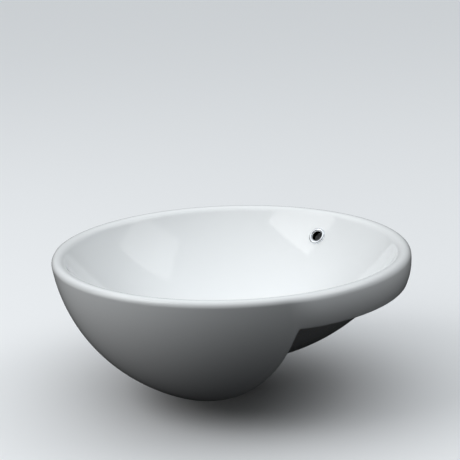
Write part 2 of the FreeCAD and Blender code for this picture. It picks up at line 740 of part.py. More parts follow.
# ---------------------------------------------------------------- push-to-open cartridge
def make_plug():
    """The domed plug, its seal, its stem and its jam nut, all in the open position."""
    radius, edge = cell("cap_radius"), cell("cap_edge")
    rise, screw = cell("cap_rise"), cell("stem_radius") + cell("thread_gap")
    dome = (radius * radius + rise * rise) / (rise * 2)
    boss, plate = cell("cap_boss_radius"), plug_under + edge
    groove, chamfer = cell("seal_groove"), cell("small_chamfer")
    seal_out = cell("seat_radius") - cell("seal_inset")
    seal_in = seal_out - cell("seal_width")
    cap = turned("plug_cap", [
        (0, stem_top),
        (screw, stem_top),
        (screw, boss_under),
        (boss, boss_under),
        (boss, plug_under),
        (seal_in, plug_under),
        (seal_in, plug_under + groove),
        (seal_out, plug_under + groove),
        (seal_out, plug_under),
        (radius - chamfer, plug_under),
        (radius, plug_under + chamfer),
        (radius, plate, dome, 1),
        (0, plate + rise),
    ])
    bevel, seal_under = cell("seal_bevel"), plug_under - cell("seal_height")
    seal = turned("plug_seal", [
        (seal_in, seal_under),
        (seal_out - bevel, seal_under),
        (seal_out, seal_under + bevel),
        (seal_out, plug_under + groove),
        (seal_in, plug_under + groove),
    ])
    stem = cylinder("plug_stem", cell("stem_radius"), cell("stem_length"), z=stem_end)
    jam = nut("cap_jam_nut", cell("jam_flats"), cell("jam_height"), jam_under, screw)
    return [cap, seal, stem, jam]


def make_plunger():
    """The sliding plunger, its thrust washer and its retaining clip."""
    rod, spindle = cell("rod_radius"), cell("spindle_radius")
    piston = cell("barrel_bore") - cell("slide_gap")
    groove = spindle - cell("clip_groove")
    screw = cell("stem_radius") + cell("thread_gap")
    plunger = turned("plunger", [
        (0, spindle_tip),
        (spindle, spindle_tip),
        (spindle, clip_under),
        (groove, clip_under),
        (groove, thrust_under),
        (spindle, thrust_under),
        (spindle, collar_under),
        (piston, collar_under),
        (piston, collar_top),
        (rod, collar_top),
        (rod, rod_top),
        (screw, rod_top),
        (screw, stem_end),
        (0, stem_end),
    ])
    thrust = turned("thrust_washer", tube_corners(
        spindle + cell("slide_gap"), piston, thrust_under, thrust_top))
    ring = turned("clip_ring", tube_corners(
        groove + cell("thread_gap"), cell("clip_radius"), clip_under, thrust_under))
    half_mouth = cell("clip_mouth") / 2
    gap = box("clip_gap", (0, FAR), (-half_mouth, half_mouth),
              (clip_under - OVERSHOOT, thrust_under + OVERSHOOT))
    return [plunger, thrust, cut("retaining_clip", ring, gap)]


def make_barrel():
    """The barrel, its cover, the track pin and the nut that locks its foot."""
    bore, wall, chamfer = cell("barrel_bore"), cell("barrel_wall"), cell("small_chamfer")
    outside, fit = bore + wall, cell("thread_gap")
    barrel_form = turned("barrel_form", [
        (0, stud_end),
        (cell("stud_radius"), stud_end),
        (cell("stud_radius"), barrel_foot),
        (outside, barrel_foot),
        (outside, barrel_top),
        (bore, barrel_top),
        (bore, spring_foot),
        (0, spring_foot),
    ])
    pin_hole = lie_along_x(cylinder("pin_hole", cell("pin_radius") + fit, FAR))
    barrel = cut("cartridge_barrel", barrel_form, pin_hole)

    cover = turned("barrel_cover", [
        (cell("rod_radius") + cell("slide_gap"), barrel_top),
        (outside + fit, barrel_top),
        (outside + fit, barrel_top - cell("cover_skirt")),
        (cell("cover_radius"), barrel_top - cell("cover_skirt")),
        (cell("cover_radius"), cover_top - chamfer),
        (cell("cover_radius") - chamfer, cover_top),
        (cell("rod_radius") + cell("slide_gap"), cover_top),
    ])
    shank = lie_along_x(cylinder("pin_shank", cell("pin_radius"), outside - bore - fit))
    bind(shank, Placement__Base__x=bore)
    tip = put(bind(document.addObject("Part::Sphere", "pin_tip"), Radius=cell("pin_radius")),
              bore, 0, pin_level)
    pin = fuse("track_pin", shank, tip)
    locknut = nut("barrel_locknut", cell("locknut_flats"), cell("locknut_height"),
                  locknut_under, cell("stud_radius") + fit)
    return [barrel, cover, pin, locknut]


def lie_along_x(thing):
    """Lay a cylinder along +X at the track pin's level."""
    put(thing, 0, 0, pin_level)
    thing.Placement.Rotation = FreeCAD.Rotation(FreeCAD.Vector(0, 1, 0), 90)
    return thing


def helix_pipe(pitch, height, radius, wire, left_handed=False):
    """A round wire that climbs a helix from height 0, starting on +X."""
    spine = Part.makeHelix(pitch, height, radius, 0, left_handed)
    start = spine.Edges[0]
    heading = start.tangentAt(start.FirstParameter)
    section = Part.Wire(Part.makeCircle(wire, FreeCAD.Vector(radius, 0, 0), heading))
    return Part.Wire(spine.Edges).makePipeShell([section], True, True)


def make_cam_sleeve():
    """The sleeve whose zigzag track runs over the pin and turns it as the plug slides."""
    piston = sheet.barrel_bore - sheet.slide_gap
    height, stroke, turn = sheet.sleeve_height, sheet.travel, sheet.track_turn
    body = Part.makeCylinder(piston, height)
    body = body.cut(Part.makeCylinder(sheet.spindle_radius + sheet.slide_gap, height))
    groove = sheet.pin_radius + sheet.pin_gap
    pitch = stroke * 360 / turn
    for leg in range(round(360 / turn)):
        rising = leg % 2 == 0
        track = helix_pipe(pitch, stroke, sheet.barrel_bore, groove, left_handed=rising)
        if not rising:
            track.rotate(FreeCAD.Vector(), FreeCAD.Vector(0, 0, 1), -turn)
        track.rotate(FreeCAD.Vector(), FreeCAD.Vector(0, 0, 1), -turn * (leg - leg % 2))
        track.translate(FreeCAD.Vector(0, 0, sheet.track_margin))
        body = body.cut(track)
        level = sheet.track_margin + (0 if rising else stroke)
        bend = Part.makeSphere(groove, FreeCAD.Vector(sheet.barrel_bore, 0, level))
        bend.rotate(FreeCAD.Vector(), FreeCAD.Vector(0, 0, 1), -turn * leg)
        body = body.cut(bend)
    sleeve = document.addObject("Part::Feature", "cam_sleeve")
    sleeve.Shape = body
    return put(sleeve, 0, 0, sleeve_under)


def make_return_spring():
    """The wound spring between the barrel's floor and the thrust washer, ends ground flat."""
    wire, length, turns = sheet.wire_radius, sheet.spring_length, sheet.spring_turns
    pitch = length / turns
    coil = helix_pipe(pitch, length, sheet.spring_mean, wire)
    coil = coil.common(Part.makeCylinder(sheet.barrel_bore, length))
    spring = document.addObject("Part::Feature", "return_spring")
    spring.Shape = coil
    return put(spring, 0, 0, spring_foot)


# ---------------------------------------------------------------- build, check and write
def check(parts):
    """Stop if any object failed or any sub-part isn't whole."""
    for thing in document.Objects:
        if "Invalid" in thing.State or "Error" in thing.State:
            raise RuntimeError(f"{thing.Label} failed: {thing.State}")
    for part in parts:
        shape = part.Shape
        if shape.isNull() or not shape.isValid() or not shape.Solids:
            raise RuntimeError(f"{part.Label} isn't a sound solid")
        print(f"{part.Label}: {len(shape.Solids)} solid, {shape.Volume:.1f} mm3")


def main():
    """Build every sub-part, check it and write one file for each."""
    parts = [make_basin()]
    parts += make_overflow_trim()
    parts += [make_waste_body()]
    parts += make_waste_joints()
    parts += make_plug()
    parts += make_plunger()
    parts += make_barrel()
    parts += [make_cam_sleeve(), make_return_spring()]
    document.recompute()
    check(parts)
    os.makedirs("parts", exist_ok=True)
    for part in parts:
        part.Shape.exportStep(f"parts/{part.Label}.step")


main()
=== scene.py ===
"""The looks of a semi-recessed wash basin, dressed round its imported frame.

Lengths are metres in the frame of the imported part, unless a class says millimetres: the
origin is where the upright outlet axis meets the level that the rear band stands on, +Z is
up and -Y points at the user.  Angles round that axis are measured from the front, positive
towards +X.
"""

import json
import logging
import math
from collections.abc import Callable, Iterator, Sequence
from dataclasses import dataclass, field
from enum import Enum
from typing import Any

import bmesh
import bpy
import numpy as np
from mathutils import Matrix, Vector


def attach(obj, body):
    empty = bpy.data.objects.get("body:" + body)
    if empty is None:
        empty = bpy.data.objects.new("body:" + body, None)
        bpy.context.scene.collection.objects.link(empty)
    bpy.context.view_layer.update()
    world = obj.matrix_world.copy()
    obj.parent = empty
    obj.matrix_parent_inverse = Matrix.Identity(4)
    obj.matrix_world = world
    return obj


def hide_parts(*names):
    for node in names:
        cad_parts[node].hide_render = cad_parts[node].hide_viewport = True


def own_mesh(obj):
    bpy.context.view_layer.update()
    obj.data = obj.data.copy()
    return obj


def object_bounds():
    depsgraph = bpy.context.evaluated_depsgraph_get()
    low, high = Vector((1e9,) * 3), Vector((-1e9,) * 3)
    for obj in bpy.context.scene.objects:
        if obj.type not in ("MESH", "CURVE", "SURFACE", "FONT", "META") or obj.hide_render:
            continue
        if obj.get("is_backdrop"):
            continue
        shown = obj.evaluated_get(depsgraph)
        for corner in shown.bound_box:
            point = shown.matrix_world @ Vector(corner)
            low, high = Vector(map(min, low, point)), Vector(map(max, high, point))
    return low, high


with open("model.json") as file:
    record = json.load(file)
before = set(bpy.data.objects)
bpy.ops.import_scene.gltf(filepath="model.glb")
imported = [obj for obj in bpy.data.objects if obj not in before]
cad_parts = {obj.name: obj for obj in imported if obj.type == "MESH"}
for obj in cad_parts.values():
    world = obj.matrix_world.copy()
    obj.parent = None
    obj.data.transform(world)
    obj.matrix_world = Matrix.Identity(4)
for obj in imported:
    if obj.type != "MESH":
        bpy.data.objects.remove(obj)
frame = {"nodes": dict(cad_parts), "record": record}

Array = np.ndarray
Distance = Callable[[Array], Array]
Corner = tuple[float, float, float]
Socket = bpy.types.NodeSocket

MM = 0.001
BARE = "bare"
# Painted shade: DUCT_SHADE marks the overflow channel and the inside of the ring's collar, which
# are painted near black and dull, with no specular on glaze, where only shade falls.
DUCT_SHADE = "duct"
DUCT_SHADE_COLOUR = "#0B0B0A"
DUCT_ROUGHNESS = 0.8
BODY_COLOUR = "#E4DFD4"
BODY_ROUGHNESS = 0.62
LOG = logging.getLogger("basin")


# ---------------------------------------------------------------- sums
def linear(hex_colour: str) -> tuple[float, float, float, float]:
    """Linear colour of an sRGB hex value.

    Args:
        hex_colour: six hex digits after a hash.

    Returns:
        Red, green, blue and an alpha of 1.
    """
    channels = [int(hex_colour[i:i + 2], 16) / 255 for i in (1, 3, 5)]
    bent = [c / 12.92 if c <= 0.04045 else ((c + 0.055) / 1.055) ** 2.4 for c in channels]
    return (*bent, 1.0)


def smooth_step(value: Array, low: float, high: float) -> Array:
    """0 below low, 1 above high and 3t^2 - 2t^3 between, with t the share of the way."""
    share = np.clip((value - low) / (high - low), 0, 1)
    return share * share * (3 - 2 * share)


def union_round(a: Array, b: Array, radius: float | Array) -> Array:
    """Distance to the union of two solids, with their inner corner filled by an arc.

    Near the corner it is radius minus the length of (radius - a, radius - b), both not
    below 0, and elsewhere the smaller distance.

    Args:
        a: distance to the first solid, negative inside it.
        b: distance to the second solid.
        radius: of the fill.

    Returns:
        Distance to the union.
    """
    gap = np.hypot(np.maximum(radius - a, 0), np.maximum(radius - b, 0))
    return np.maximum(radius, np.minimum(a, b)) - gap


def common_round(a: Array, b: Array, radius: float | Array) -> Array:
    """Distance to where both solids are, with the outer corner rounded by an arc.

    It is the union of what the solids leave empty, turned inside out.

    Args:
        a: distance to the first solid, negative inside it.
        b: distance to the second solid.
        radius: of the rounding.

    Returns:
        Distance to the common part.
    """
    return -union_round(-a, -b, radius)


def settle(points: Array, distance: Distance, rounds: int = 8) -> Array:
    """Move points onto the surface where a distance is 0.

    Each round takes p - f g / |g|^2, with f the distance at p and g its slope by central
    differences, and no step is longer than 6 mm.

    Args:
        points: of any shape whose last axis is x, y, z.
        distance: the signed distance as a function of such points.
        rounds: how often to repeat.

    Returns:
        The moved points.
    """
    probe, longest_step, least = 0.02 * MM, 6 * MM, 1e-6
    for _ in range(rounds):
        slope = np.stack([
            (distance(points + side) - distance(points - side)) / (2 * probe)
            for side in np.eye(3) * probe
        ], axis=-1)
        steep = np.maximum((slope ** 2).sum(-1), least)
        step = -(distance(points) / steep)[..., None] * slope
        length = np.linalg.norm(step, axis=-1, keepdims=True)
        points = points + step * np.minimum(1, longest_step / np.maximum(length, least))
    return points


def graded(length: Array, near: float, fine: int, coarse: int) -> Array:
    """Shares of a length that lie closer together within a distance of both ends.

    Args:
        length: one length per column.
        near: how far the closer spacing reaches from each end.
        fine: steps in each of those stretches.
        coarse: steps between them.

    Returns:
        Rows of shares, from 0 up to but not including 1, one column per length.
    """
    edge = np.minimum(near / np.maximum(length, near), 1 / 3)
    few = np.linspace(0, 1, fine, endpoint=False)[:, None]
    many = np.linspace(0, 1, coarse, endpoint=False)[:, None]
    return np.concatenate([few * edge, edge + many * (1 - 2 * edge), 1 - edge + few * edge])


def around(turn: Array, out: Array, height: Array) -> Array:
    """Points at angles round an upright axis, a radius out and a height up."""
    spread = np.broadcast_arrays(out * np.sin(turn), -out * np.cos(turn), height)
    return np.stack(spread, axis=-1)


def flat_ball(rows: int, columns: int, power: float) -> Array:
    """A unit ball whose coordinates are flattened by a power, towards a cube.

    Args:
        rows: from the lower pole to the upper.
        columns: round the ball.
        power: 1 for a ball, smaller for crisper edges.

    Returns:
        Points (rows, columns, 3).
    """
    turn = np.linspace(0, 2 * np.pi, columns, endpoint=False)
    lift = np.linspace(-np.pi / 2, np.pi / 2, rows)[:, None]
    ball = np.stack(np.broadcast_arrays(
        np.cos(lift) * np.cos(turn), np.cos(lift) * np.sin(turn), np.sin(lift)), axis=-1)
    return np.sign(ball) * np.abs(ball) ** power


def round_corners(corners: Sequence[Corner], closed: bool = True, steps: int = 6) -> Array:
    """An outline whose corners are arcs.

    A corner of radius q between two sides that meet at an angle t starts q / tan(t / 2)
    before its tip; that length is limited to under half of each side.

    Args:
        corners: (across, up, rounding) of each tip.
        closed: whether the last side runs back to the first corner.
        steps: straight pieces per arc.

    Returns:
        Points (n, 2).
    """
    tips = np.array([c[:2] for c in corners], float)
    parts = []
    for index, (*_, rounding) in enumerate(corners):
        tip = tips[index]
        if rounding <= 0 or (not closed and index in (0, len(corners) - 1)):
            parts.append(tip[None])
            continue
        before, after = tips[index - 1] - tip, tips[(index + 1) % len(tips)] - tip
        reach = [np.linalg.norm(before), np.linalg.norm(after)]
        before, after = before / reach[0], after / reach[1]
        half = math.acos(np.clip(before @ after, -1, 1)) / 2
        setback = min(rounding / math.tan(half), 0.49 * reach[0], 0.49 * reach[1])
        radius = setback * math.tan(half)
        centre = tip + (before + after) / np.linalg.norm(before + after) * radius / math.sin(half)
        start, end = tip + before * setback - centre, tip + after * setback - centre
        span = math.pi - 2 * half
        share = np.linspace(0, 1, steps + 1)[:, None]
        parts.append(centre + (np.sin((1 - share) * span) * start
                               + np.sin(share * span) * end) / math.sin(span))
    return np.concatenate(parts)


# ---------------------------------------------------------------- meshes
def linked(name: str, data: bpy.types.ID) -> bpy.types.Object:
    """A new object of the scene with the given mesh, lamp or camera.

    Args:
        name: of the object.
        data: what it shows.

    Returns:
        The object.
    """
    thing = bpy.data.objects.new(name, data)
    bpy.context.scene.collection.objects.link(thing)
    return thing


def mesh_object(name: str, points: Array, faces: Array) -> bpy.types.Object:
    """A linked object from points and four-sided faces, its normals pointing outwards.

    Points that lie together are merged, so poles and closed seams hold no loose edges.  The
    faces are turned round where the volume, a sixth of the sum of a . (b x c) over the
    triangles, comes out negative.

    Args:
        name: of the object and its mesh.
        points: (n, 3).
        faces: (k, 4) indices into the points.

    Returns:
        The object, at the origin.
    """
    a, b, c, d = (points[faces[:, i]] for i in range(4))
    volume = (a * np.cross(b, c)).sum() + (a * np.cross(c, d)).sum()
    if volume < 0:
        faces = faces[:, ::-1]
    mesh = bpy.data.meshes.new(name)
    mesh.vertices.add(len(points))
    mesh.vertices.foreach_set("co", np.ascontiguousarray(points, np.float32).ravel())
    mesh.loops.add(faces.size)
    mesh.loops.foreach_set("vertex_index", np.ascontiguousarray(faces, np.int32).ravel())
    mesh.polygons.add(len(faces))
    mesh.polygons.foreach_set("loop_start", np.arange(0, faces.size, 4, dtype=np.int32))
    mesh.update(calc_edges=True)
    merged = bmesh.new()
    merged.from_mesh(mesh)
    bmesh.ops.remove_doubles(merged, verts=merged.verts, dist=0.0005 * MM)
    merged.to_mesh(mesh)
    merged.free()
    return linked(name, mesh)


def grid_faces(rows: int, columns: int, wrap_rows: bool, wrap_columns: bool) -> Array:
    """Indices of the faces of a grid that is numbered row by row.

    Args:
        rows: number of rows.
        columns: number of columns.
        wrap_rows: whether the last row joins the first.
        wrap_columns: whether the last column joins the first.

    Returns:
        (k, 4) indices.
    """
    i, j = np.meshgrid(np.arange(rows - (not wrap_rows)),
                       np.arange(columns - (not wrap_columns)), indexing="ij")
    below, beside = (i + 1) % rows, (j + 1) % columns
    corners = (i * columns + j, i * columns + beside, below * columns + beside,
               below * columns + j)
    return np.stack(corners, axis=-1).reshape(-1, 4)


def lathe(name: str, outline: Array, segments: int = 96,
          stand: Matrix | None = None) -> bpy.types.Object:
    """A solid of revolution: (r, h) of the outline becomes (r sin t, -r cos t, h).

    Args:
        name: of the object.
        outline: closed loop of (radius, height) points.
        segments: number of columns round the axis.
        stand: where the axis stands, if it isn't the outlet axis.

    Returns:
        The object.
    """
    turn = np.linspace(0, 2 * np.pi, segments, endpoint=False)
    points = around(turn, outline[:, :1], outline[:, 1:]).reshape(-1, 3)
    if stand is not None:
        matrix = np.array(stand)
        points = points @ matrix[:3, :3].T + matrix[:3, 3]
    return mesh_object(name, points, grid_faces(len(outline), segments, True, True))


def carve(piece: bpy.types.Object, *tools: bpy.types.Object) -> None:
    """Cut closed tools out of a closed piece, for good, and remove the tools.

    Args:
        piece: what is cut.
        tools: what is taken away, one after another.
    """
    for tool in tools:
        modifier = piece.modifiers.new("cut", "BOOLEAN")
        modifier.operation = "DIFFERENCE"
        modifier.solver = "MANIFOLD"
        modifier.object = tool
        bpy.context.view_layer.update()
        depsgraph = bpy.context.evaluated_depsgraph_get()
        result = bpy.data.meshes.new_from_object(piece.evaluated_get(depsgraph))
        piece.modifiers.clear()
        old, piece.data = piece.data, result
        bpy.data.meshes.remove(old)
        bpy.data.objects.remove(tool)


def shade(piece: bpy.types.Object, crease: float = 32.0) -> None:
    """Shade a piece smooth, with edges sharper than an angle in degrees left crisp."""
    piece.data.shade_smooth()
    piece.data.set_sharp_from_angle(angle=math.radians(crease))


def vertex_places(piece: bpy.types.Object) -> Array:
    """Where the vertices of a piece are.

    Args:
        piece: whose mesh is read.

    Returns:
        Points (n, 3).
    """
    places = np.empty(len(piece.data.vertices) * 3, np.float32)
    piece.data.vertices.foreach_get("co", places)
    return places.reshape(-1, 3).astype(float)


def mark(piece: bpy.types.Object, name: str, share: Array) -> None:
    """Write a share from 0 to 1 on every vertex of a piece, for its material to read."""
    attribute = piece.data.attributes.new(name, "FLOAT", "POINT")
    attribute.data.foreach_set("value", share.astype(np.float32))


def rounded_block(name: str, middle: Array, half: Array, power: float) -> bpy.types.Object:
    """A block with rounded edges.

    Args:
        name: of the object.
        middle: of the block.
        half: half its size in x, y and z.
        power: 1 for a ball, smaller for crisper edges.

    Returns:
        The block.
    """
    rows, columns = 49, 96
    points = middle + half * flat_ball(rows, columns, power)
    return mesh_object(name, points.reshape(-1, 3), grid_faces(rows, columns, False, True))


def join(name: str, *pieces: bpy.types.Object) -> bpy.types.Object:
    """One object from several that stand at the origin; the others are removed.

    Args:
        name: of the new object.
        pieces: what goes into it.

    Returns:
        The new object.
    """
    whole = bmesh.new()
    for piece in pieces:
        whole.from_mesh(piece.data)
    mesh = bpy.data.meshes.new(name)
    whole.to_mesh(mesh)
    whole.free()
    for piece in pieces:
        bpy.data.objects.remove(piece)
    return linked(name, mesh)


# ---------------------------------------------------------------- finishes
class Pattern(Enum):
    """How a finish varies over its surface."""

    GLAZED = "a fired glaze with soft waves, thin on the hidden side"
    POLISHED = "a buffed plate with faint wipe marks"
    TURNED = "rings left by a lathe tool"
    MOULDED = "the even grain of a mould"
    DRAWN = "lines along a drawn wire or strip"


def add(tree: bpy.types.NodeTree, kind: str, links: dict[str | int, Any] | None = None,
        **settings: Any) -> bpy.types.Node:
    """Add a node.

    Args:
        tree: where the node goes.
        kind: its type without the ShaderNode prefix.
        links: input name or number to an output socket or a plain value.
        settings: properties of the node.

    Returns:
        The node.
    """
    node = tree.nodes.new("ShaderNode" + kind)
    for name, value in settings.items():
        setattr(node, name, value)
    for key, value in (links or {}).items():
        if isinstance(value, bpy.types.NodeSocket):
            tree.links.new(value, node.inputs[key])
        else:
            node.inputs[key].default_value = value
    return node


def fresh_tree(owner: bpy.types.Material | bpy.types.World) -> bpy.types.NodeTree:
    """The node tree of a material or world, emptied.

    Args:
        owner: whose nodes they are.

    Returns:
        The empty tree.
    """
    owner.use_nodes = True
    owner.node_tree.nodes.clear()
    return owner.node_tree


@dataclass(frozen=True)
class Finish:
    """A real material and how its surface was made, in the numbers that its shader needs."""

    name: str
    colour: str
    shade_colour: str
    pattern: Pattern
    roughness: float
    roughness_swing: float
    grain: float
    depth: float
    metallic: float = 0.0
    ior: float = 1.5

    def coordinates(self, tree: bpy.types.NodeTree) -> Socket:
        """Object coordinates, or for lathe work the distance from the axis and the height.

        Args:
            tree: the material's nodes.

        Returns:
            The socket that the patterns read.
        """
        place = add(tree, "TexCoord").outputs["Object"]
        if self.pattern is not Pattern.TURNED:
            return place
        split = add(tree, "SeparateXYZ", {0: place})
        flat = add(tree, "CombineXYZ", {"X": split.outputs["X"], "Y": split.outputs["Y"]})
        across = add(tree, "VectorMath", {0: flat.outputs[0]}, operation="LENGTH")
        rings = add(tree, "CombineXYZ",
                    {"X": across.outputs["Value"], "Z": split.outputs["Z"]})
        return rings.outputs[0]

    def build(self) -> bpy.types.Material:
        """Make the material.

        Returns:
            A node material with colour, roughness and bump that vary over the surface, and
            painted shade, near black and dull with no specular on glaze, where the piece's
            DUCT_SHADE attribute marks the inside of the overflow channel and of the ring's collar.
        """
        material = bpy.data.materials.new(self.name)
        tree = fresh_tree(material)
        where = self.coordinates(tree)
        stretch = {"Vector": where}
        if self.pattern is Pattern.DRAWN:
            drawn = add(tree, "Mapping", {"Vector": where, "Scale": (1, 1, 12)})
            stretch = {"Vector": drawn.outputs[0]}
        clouds = add(tree, "TexNoise", {"Vector": where, "Scale": 1 / (40 * self.grain),
                                        "Detail": 3.0, "Roughness": 0.5})
        grain = add(tree, "TexNoise", {**stretch, "Scale": 1 / self.grain, "Detail": 4.0,
                                       "Roughness": 0.6})
        tint = add(tree, "Mix", {0: clouds.outputs[0], 6: linear(self.colour),
                                 7: linear(self.shade_colour)}, data_type="RGBA")
        gloss = add(tree, "MapRange", {
            "Value": grain.outputs[0], "To Min": max(self.roughness - self.roughness_swing, 0),
            "To Max": self.roughness + self.roughness_swing})
        bump = add(tree, "Bump", {"Height": grain.outputs[0], "Strength": 1.0,
                                  "Distance": self.depth})
        colour, rough, normal = tint.outputs[2], gloss.outputs[0], bump.outputs[0]
        # Where the painted shade of the overflow channel and the collar goes.
        duct = add(tree, "Attribute", attribute_name=DUCT_SHADE).outputs["Fac"]
        skin: dict[str | int, Any] = {"Metallic": self.metallic}
        if self.metallic < 1:
            skin["IOR"] = self.ior
        if self.pattern is Pattern.GLAZED:
            colour, rough, normal = self.glaze(tree, where, colour, rough, normal)
            # No specular where the DUCT_SHADE attribute marks the channel, to go with its painted
            # shade.
            matt = add(tree, "MapRange", {"Value": duct, "To Min": 0.5, "To Max": 0.0})
            skin["Specular IOR Level"] = matt.outputs[0]
        # Painted shade: near-black colour and high roughness where the DUCT_SHADE attribute marks
        # the channel and the collar, where only shade falls.
        if self.pattern in (Pattern.GLAZED, Pattern.POLISHED):
            painted_shade = add(tree, "Mix", {0: duct, 6: colour, 7: linear(DUCT_SHADE_COLOUR)},
                       data_type="RGBA")
            dull = add(tree, "Mix", {0: duct, 2: rough, 3: DUCT_ROUGHNESS}, data_type="FLOAT")
            colour, rough = painted_shade.outputs[2], dull.outputs[0]
        shader = add(tree, "BsdfPrincipled", {
            "Base Color": colour, "Roughness": rough, "Normal": normal, **skin})
        add(tree, "OutputMaterial", {"Surface": shader.outputs[0]})
        return material

    @staticmethod
    def glaze(tree: bpy.types.NodeTree, where: Socket, colour: Socket, rough: Socket,
              normal: Socket) -> tuple[Socket, Socket, Socket]:
        """Mix in the bare, matt body where the piece's BARE attribute has the glaze wiped off.

        Args:
            tree: the material's nodes.
            where: object coordinates.
            colour: of the glaze.
            rough: of the glaze.
            normal: of the glaze.

        Returns:
            Colour, roughness and normal with the bare body mixed in.
        """
        bare = add(tree, "Attribute", attribute_name=BARE).outputs["Fac"]
        ragged = add(tree, "TexNoise", {"Vector": where, "Scale": 1 / (6 * MM), "Detail": 5.0})
        edge = add(tree, "Math", {0: bare, 1: ragged.outputs[0]}, operation="ADD")
        mask = add(tree, "MapRange", {"Value": edge.outputs[0], "From Min": 0.85,
                                      "From Max": 1.25}).outputs[0]
        tint = add(tree, "Mix", {0: mask, 6: colour, 7: linear(BODY_COLOUR)}, data_type="RGBA")
        gloss = add(tree, "Mix", {0: mask, 2: rough, 3: BODY_ROUGHNESS}, data_type="FLOAT")
        grit = add(tree, "TexNoise", {"Vector": where, "Scale": 1 / (0.9 * MM), "Detail": 4.0})
        pits = add(tree, "Bump", {"Height": grit.outputs[0], "Strength": mask,
                                  "Distance": 0.12 * MM, "Normal": normal})
        return tint.outputs[2], gloss.outputs[0], pits.outputs[0]


# Fired glaze on vitreous china: near white, a mirror under soft waves about 16 mm apart.
GLAZED_CHINA = Finish("glazed_vitreous_china", "#F3F4F4", "#EDF0F1", Pattern.GLAZED,
                      roughness=0.07, roughness_swing=0.02, grain=16 * MM, depth=0.05 * MM,
                      ior=1.5)
# Polished chrome plate: a slightly blue mirror with barely uneven gloss.
CHROME_PLATE = Finish("polished_chrome_plate", "#D3D6D9", "#C9CDD1", Pattern.POLISHED,
                      roughness=0.06, roughness_swing=0.03, grain=2.5 * MM, depth=0.003 * MM,
                      metallic=1.0)
# Turned brass: warm yellow with tool rings, drawn at 0.5 mm because real ones don't show.
TURNED_BRASS = Finish("turned_brass", "#C9A25C", "#A9833F", Pattern.TURNED,
                      roughness=0.28, roughness_swing=0.08, grain=0.5 * MM, depth=0.01 * MM,
                      metallic=1.0)
# Moulded nitrile rubber: soft black with a matt, faintly grainy skin.
MOULDED_RUBBER = Finish("moulded_rubber", "#232324", "#1B1B1C", Pattern.MOULDED,
                        roughness=0.72, roughness_swing=0.1, grain=0.6 * MM, depth=0.02 * MM,
                        ior=1.52)
# Moulded nylon: milky off-white with a satin skin.
MOULDED_NYLON = Finish("moulded_nylon", "#ECE9DF", "#E2DED2", Pattern.MOULDED,
                       roughness=0.42, roughness_swing=0.08, grain=0.8 * MM, depth=0.01 * MM,
                       ior=1.53)
# Drawn stainless spring wire: grey with fine lines along it.
DRAWN_STEEL = Finish("drawn_spring_steel", "#B4B6B8", "#A2A5A8", Pattern.DRAWN,
                     roughness=0.3, roughness_swing=0.1, grain=0.4 * MM, depth=0.008 * MM,
                     metallic=1.0)

SLOT_FINISHES = {
    "glazed_ceramic": GLAZED_CHINA,
    "chrome_plate": CHROME_PLATE,
    "plain_brass": TURNED_BRASS,
    "black_rubber": MOULDED_RUBBER,
    "white_nylon": MOULDED_NYLON,
    "spring_steel": DRAWN_STEEL,
}


@dataclass
class Wardrobe:
    """The materials, made once each, and the dressing of pieces and nodes with them."""

    materials: dict[str, bpy.types.Material] = field(default_factory=dict)

    def material(self, slot: str) -> bpy.types.Material:
        """The material of one of the record's slots.

        Args:
            slot: its name.

        Returns:
            The material.
        """
        if slot not in self.materials:
            self.materials[slot] = SLOT_FINISHES[slot].build()
        return self.materials[slot]

    def dress(self, piece: bpy.types.Object, slot: str, body: str, *nodes: str) -> None:
        """Finish a piece, let it ride on its body and let it stand for its nodes.

        Args:
            piece: the new object.
            slot: the record's material slot.
            body: the body that carries it.
            nodes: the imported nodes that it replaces.
        """
        piece.data.materials.clear()
        piece.data.materials.append(self.material(slot))
        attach(piece, body)
        if nodes:
            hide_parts(*nodes)
        LOG.info("%s: %d faces on %s", piece.name, len(piece.data.polygons), body)

    def dress_node(self, node: str, slot: str) -> None:
        """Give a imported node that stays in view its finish, without touching its mesh.

        Args:
            node: its name.
            slot: the record's slot.
        """
        for entry in frame["nodes"][node].material_slots:
            entry.material = self.material(slot)
        LOG.info("%s keeps its packed mesh", node)


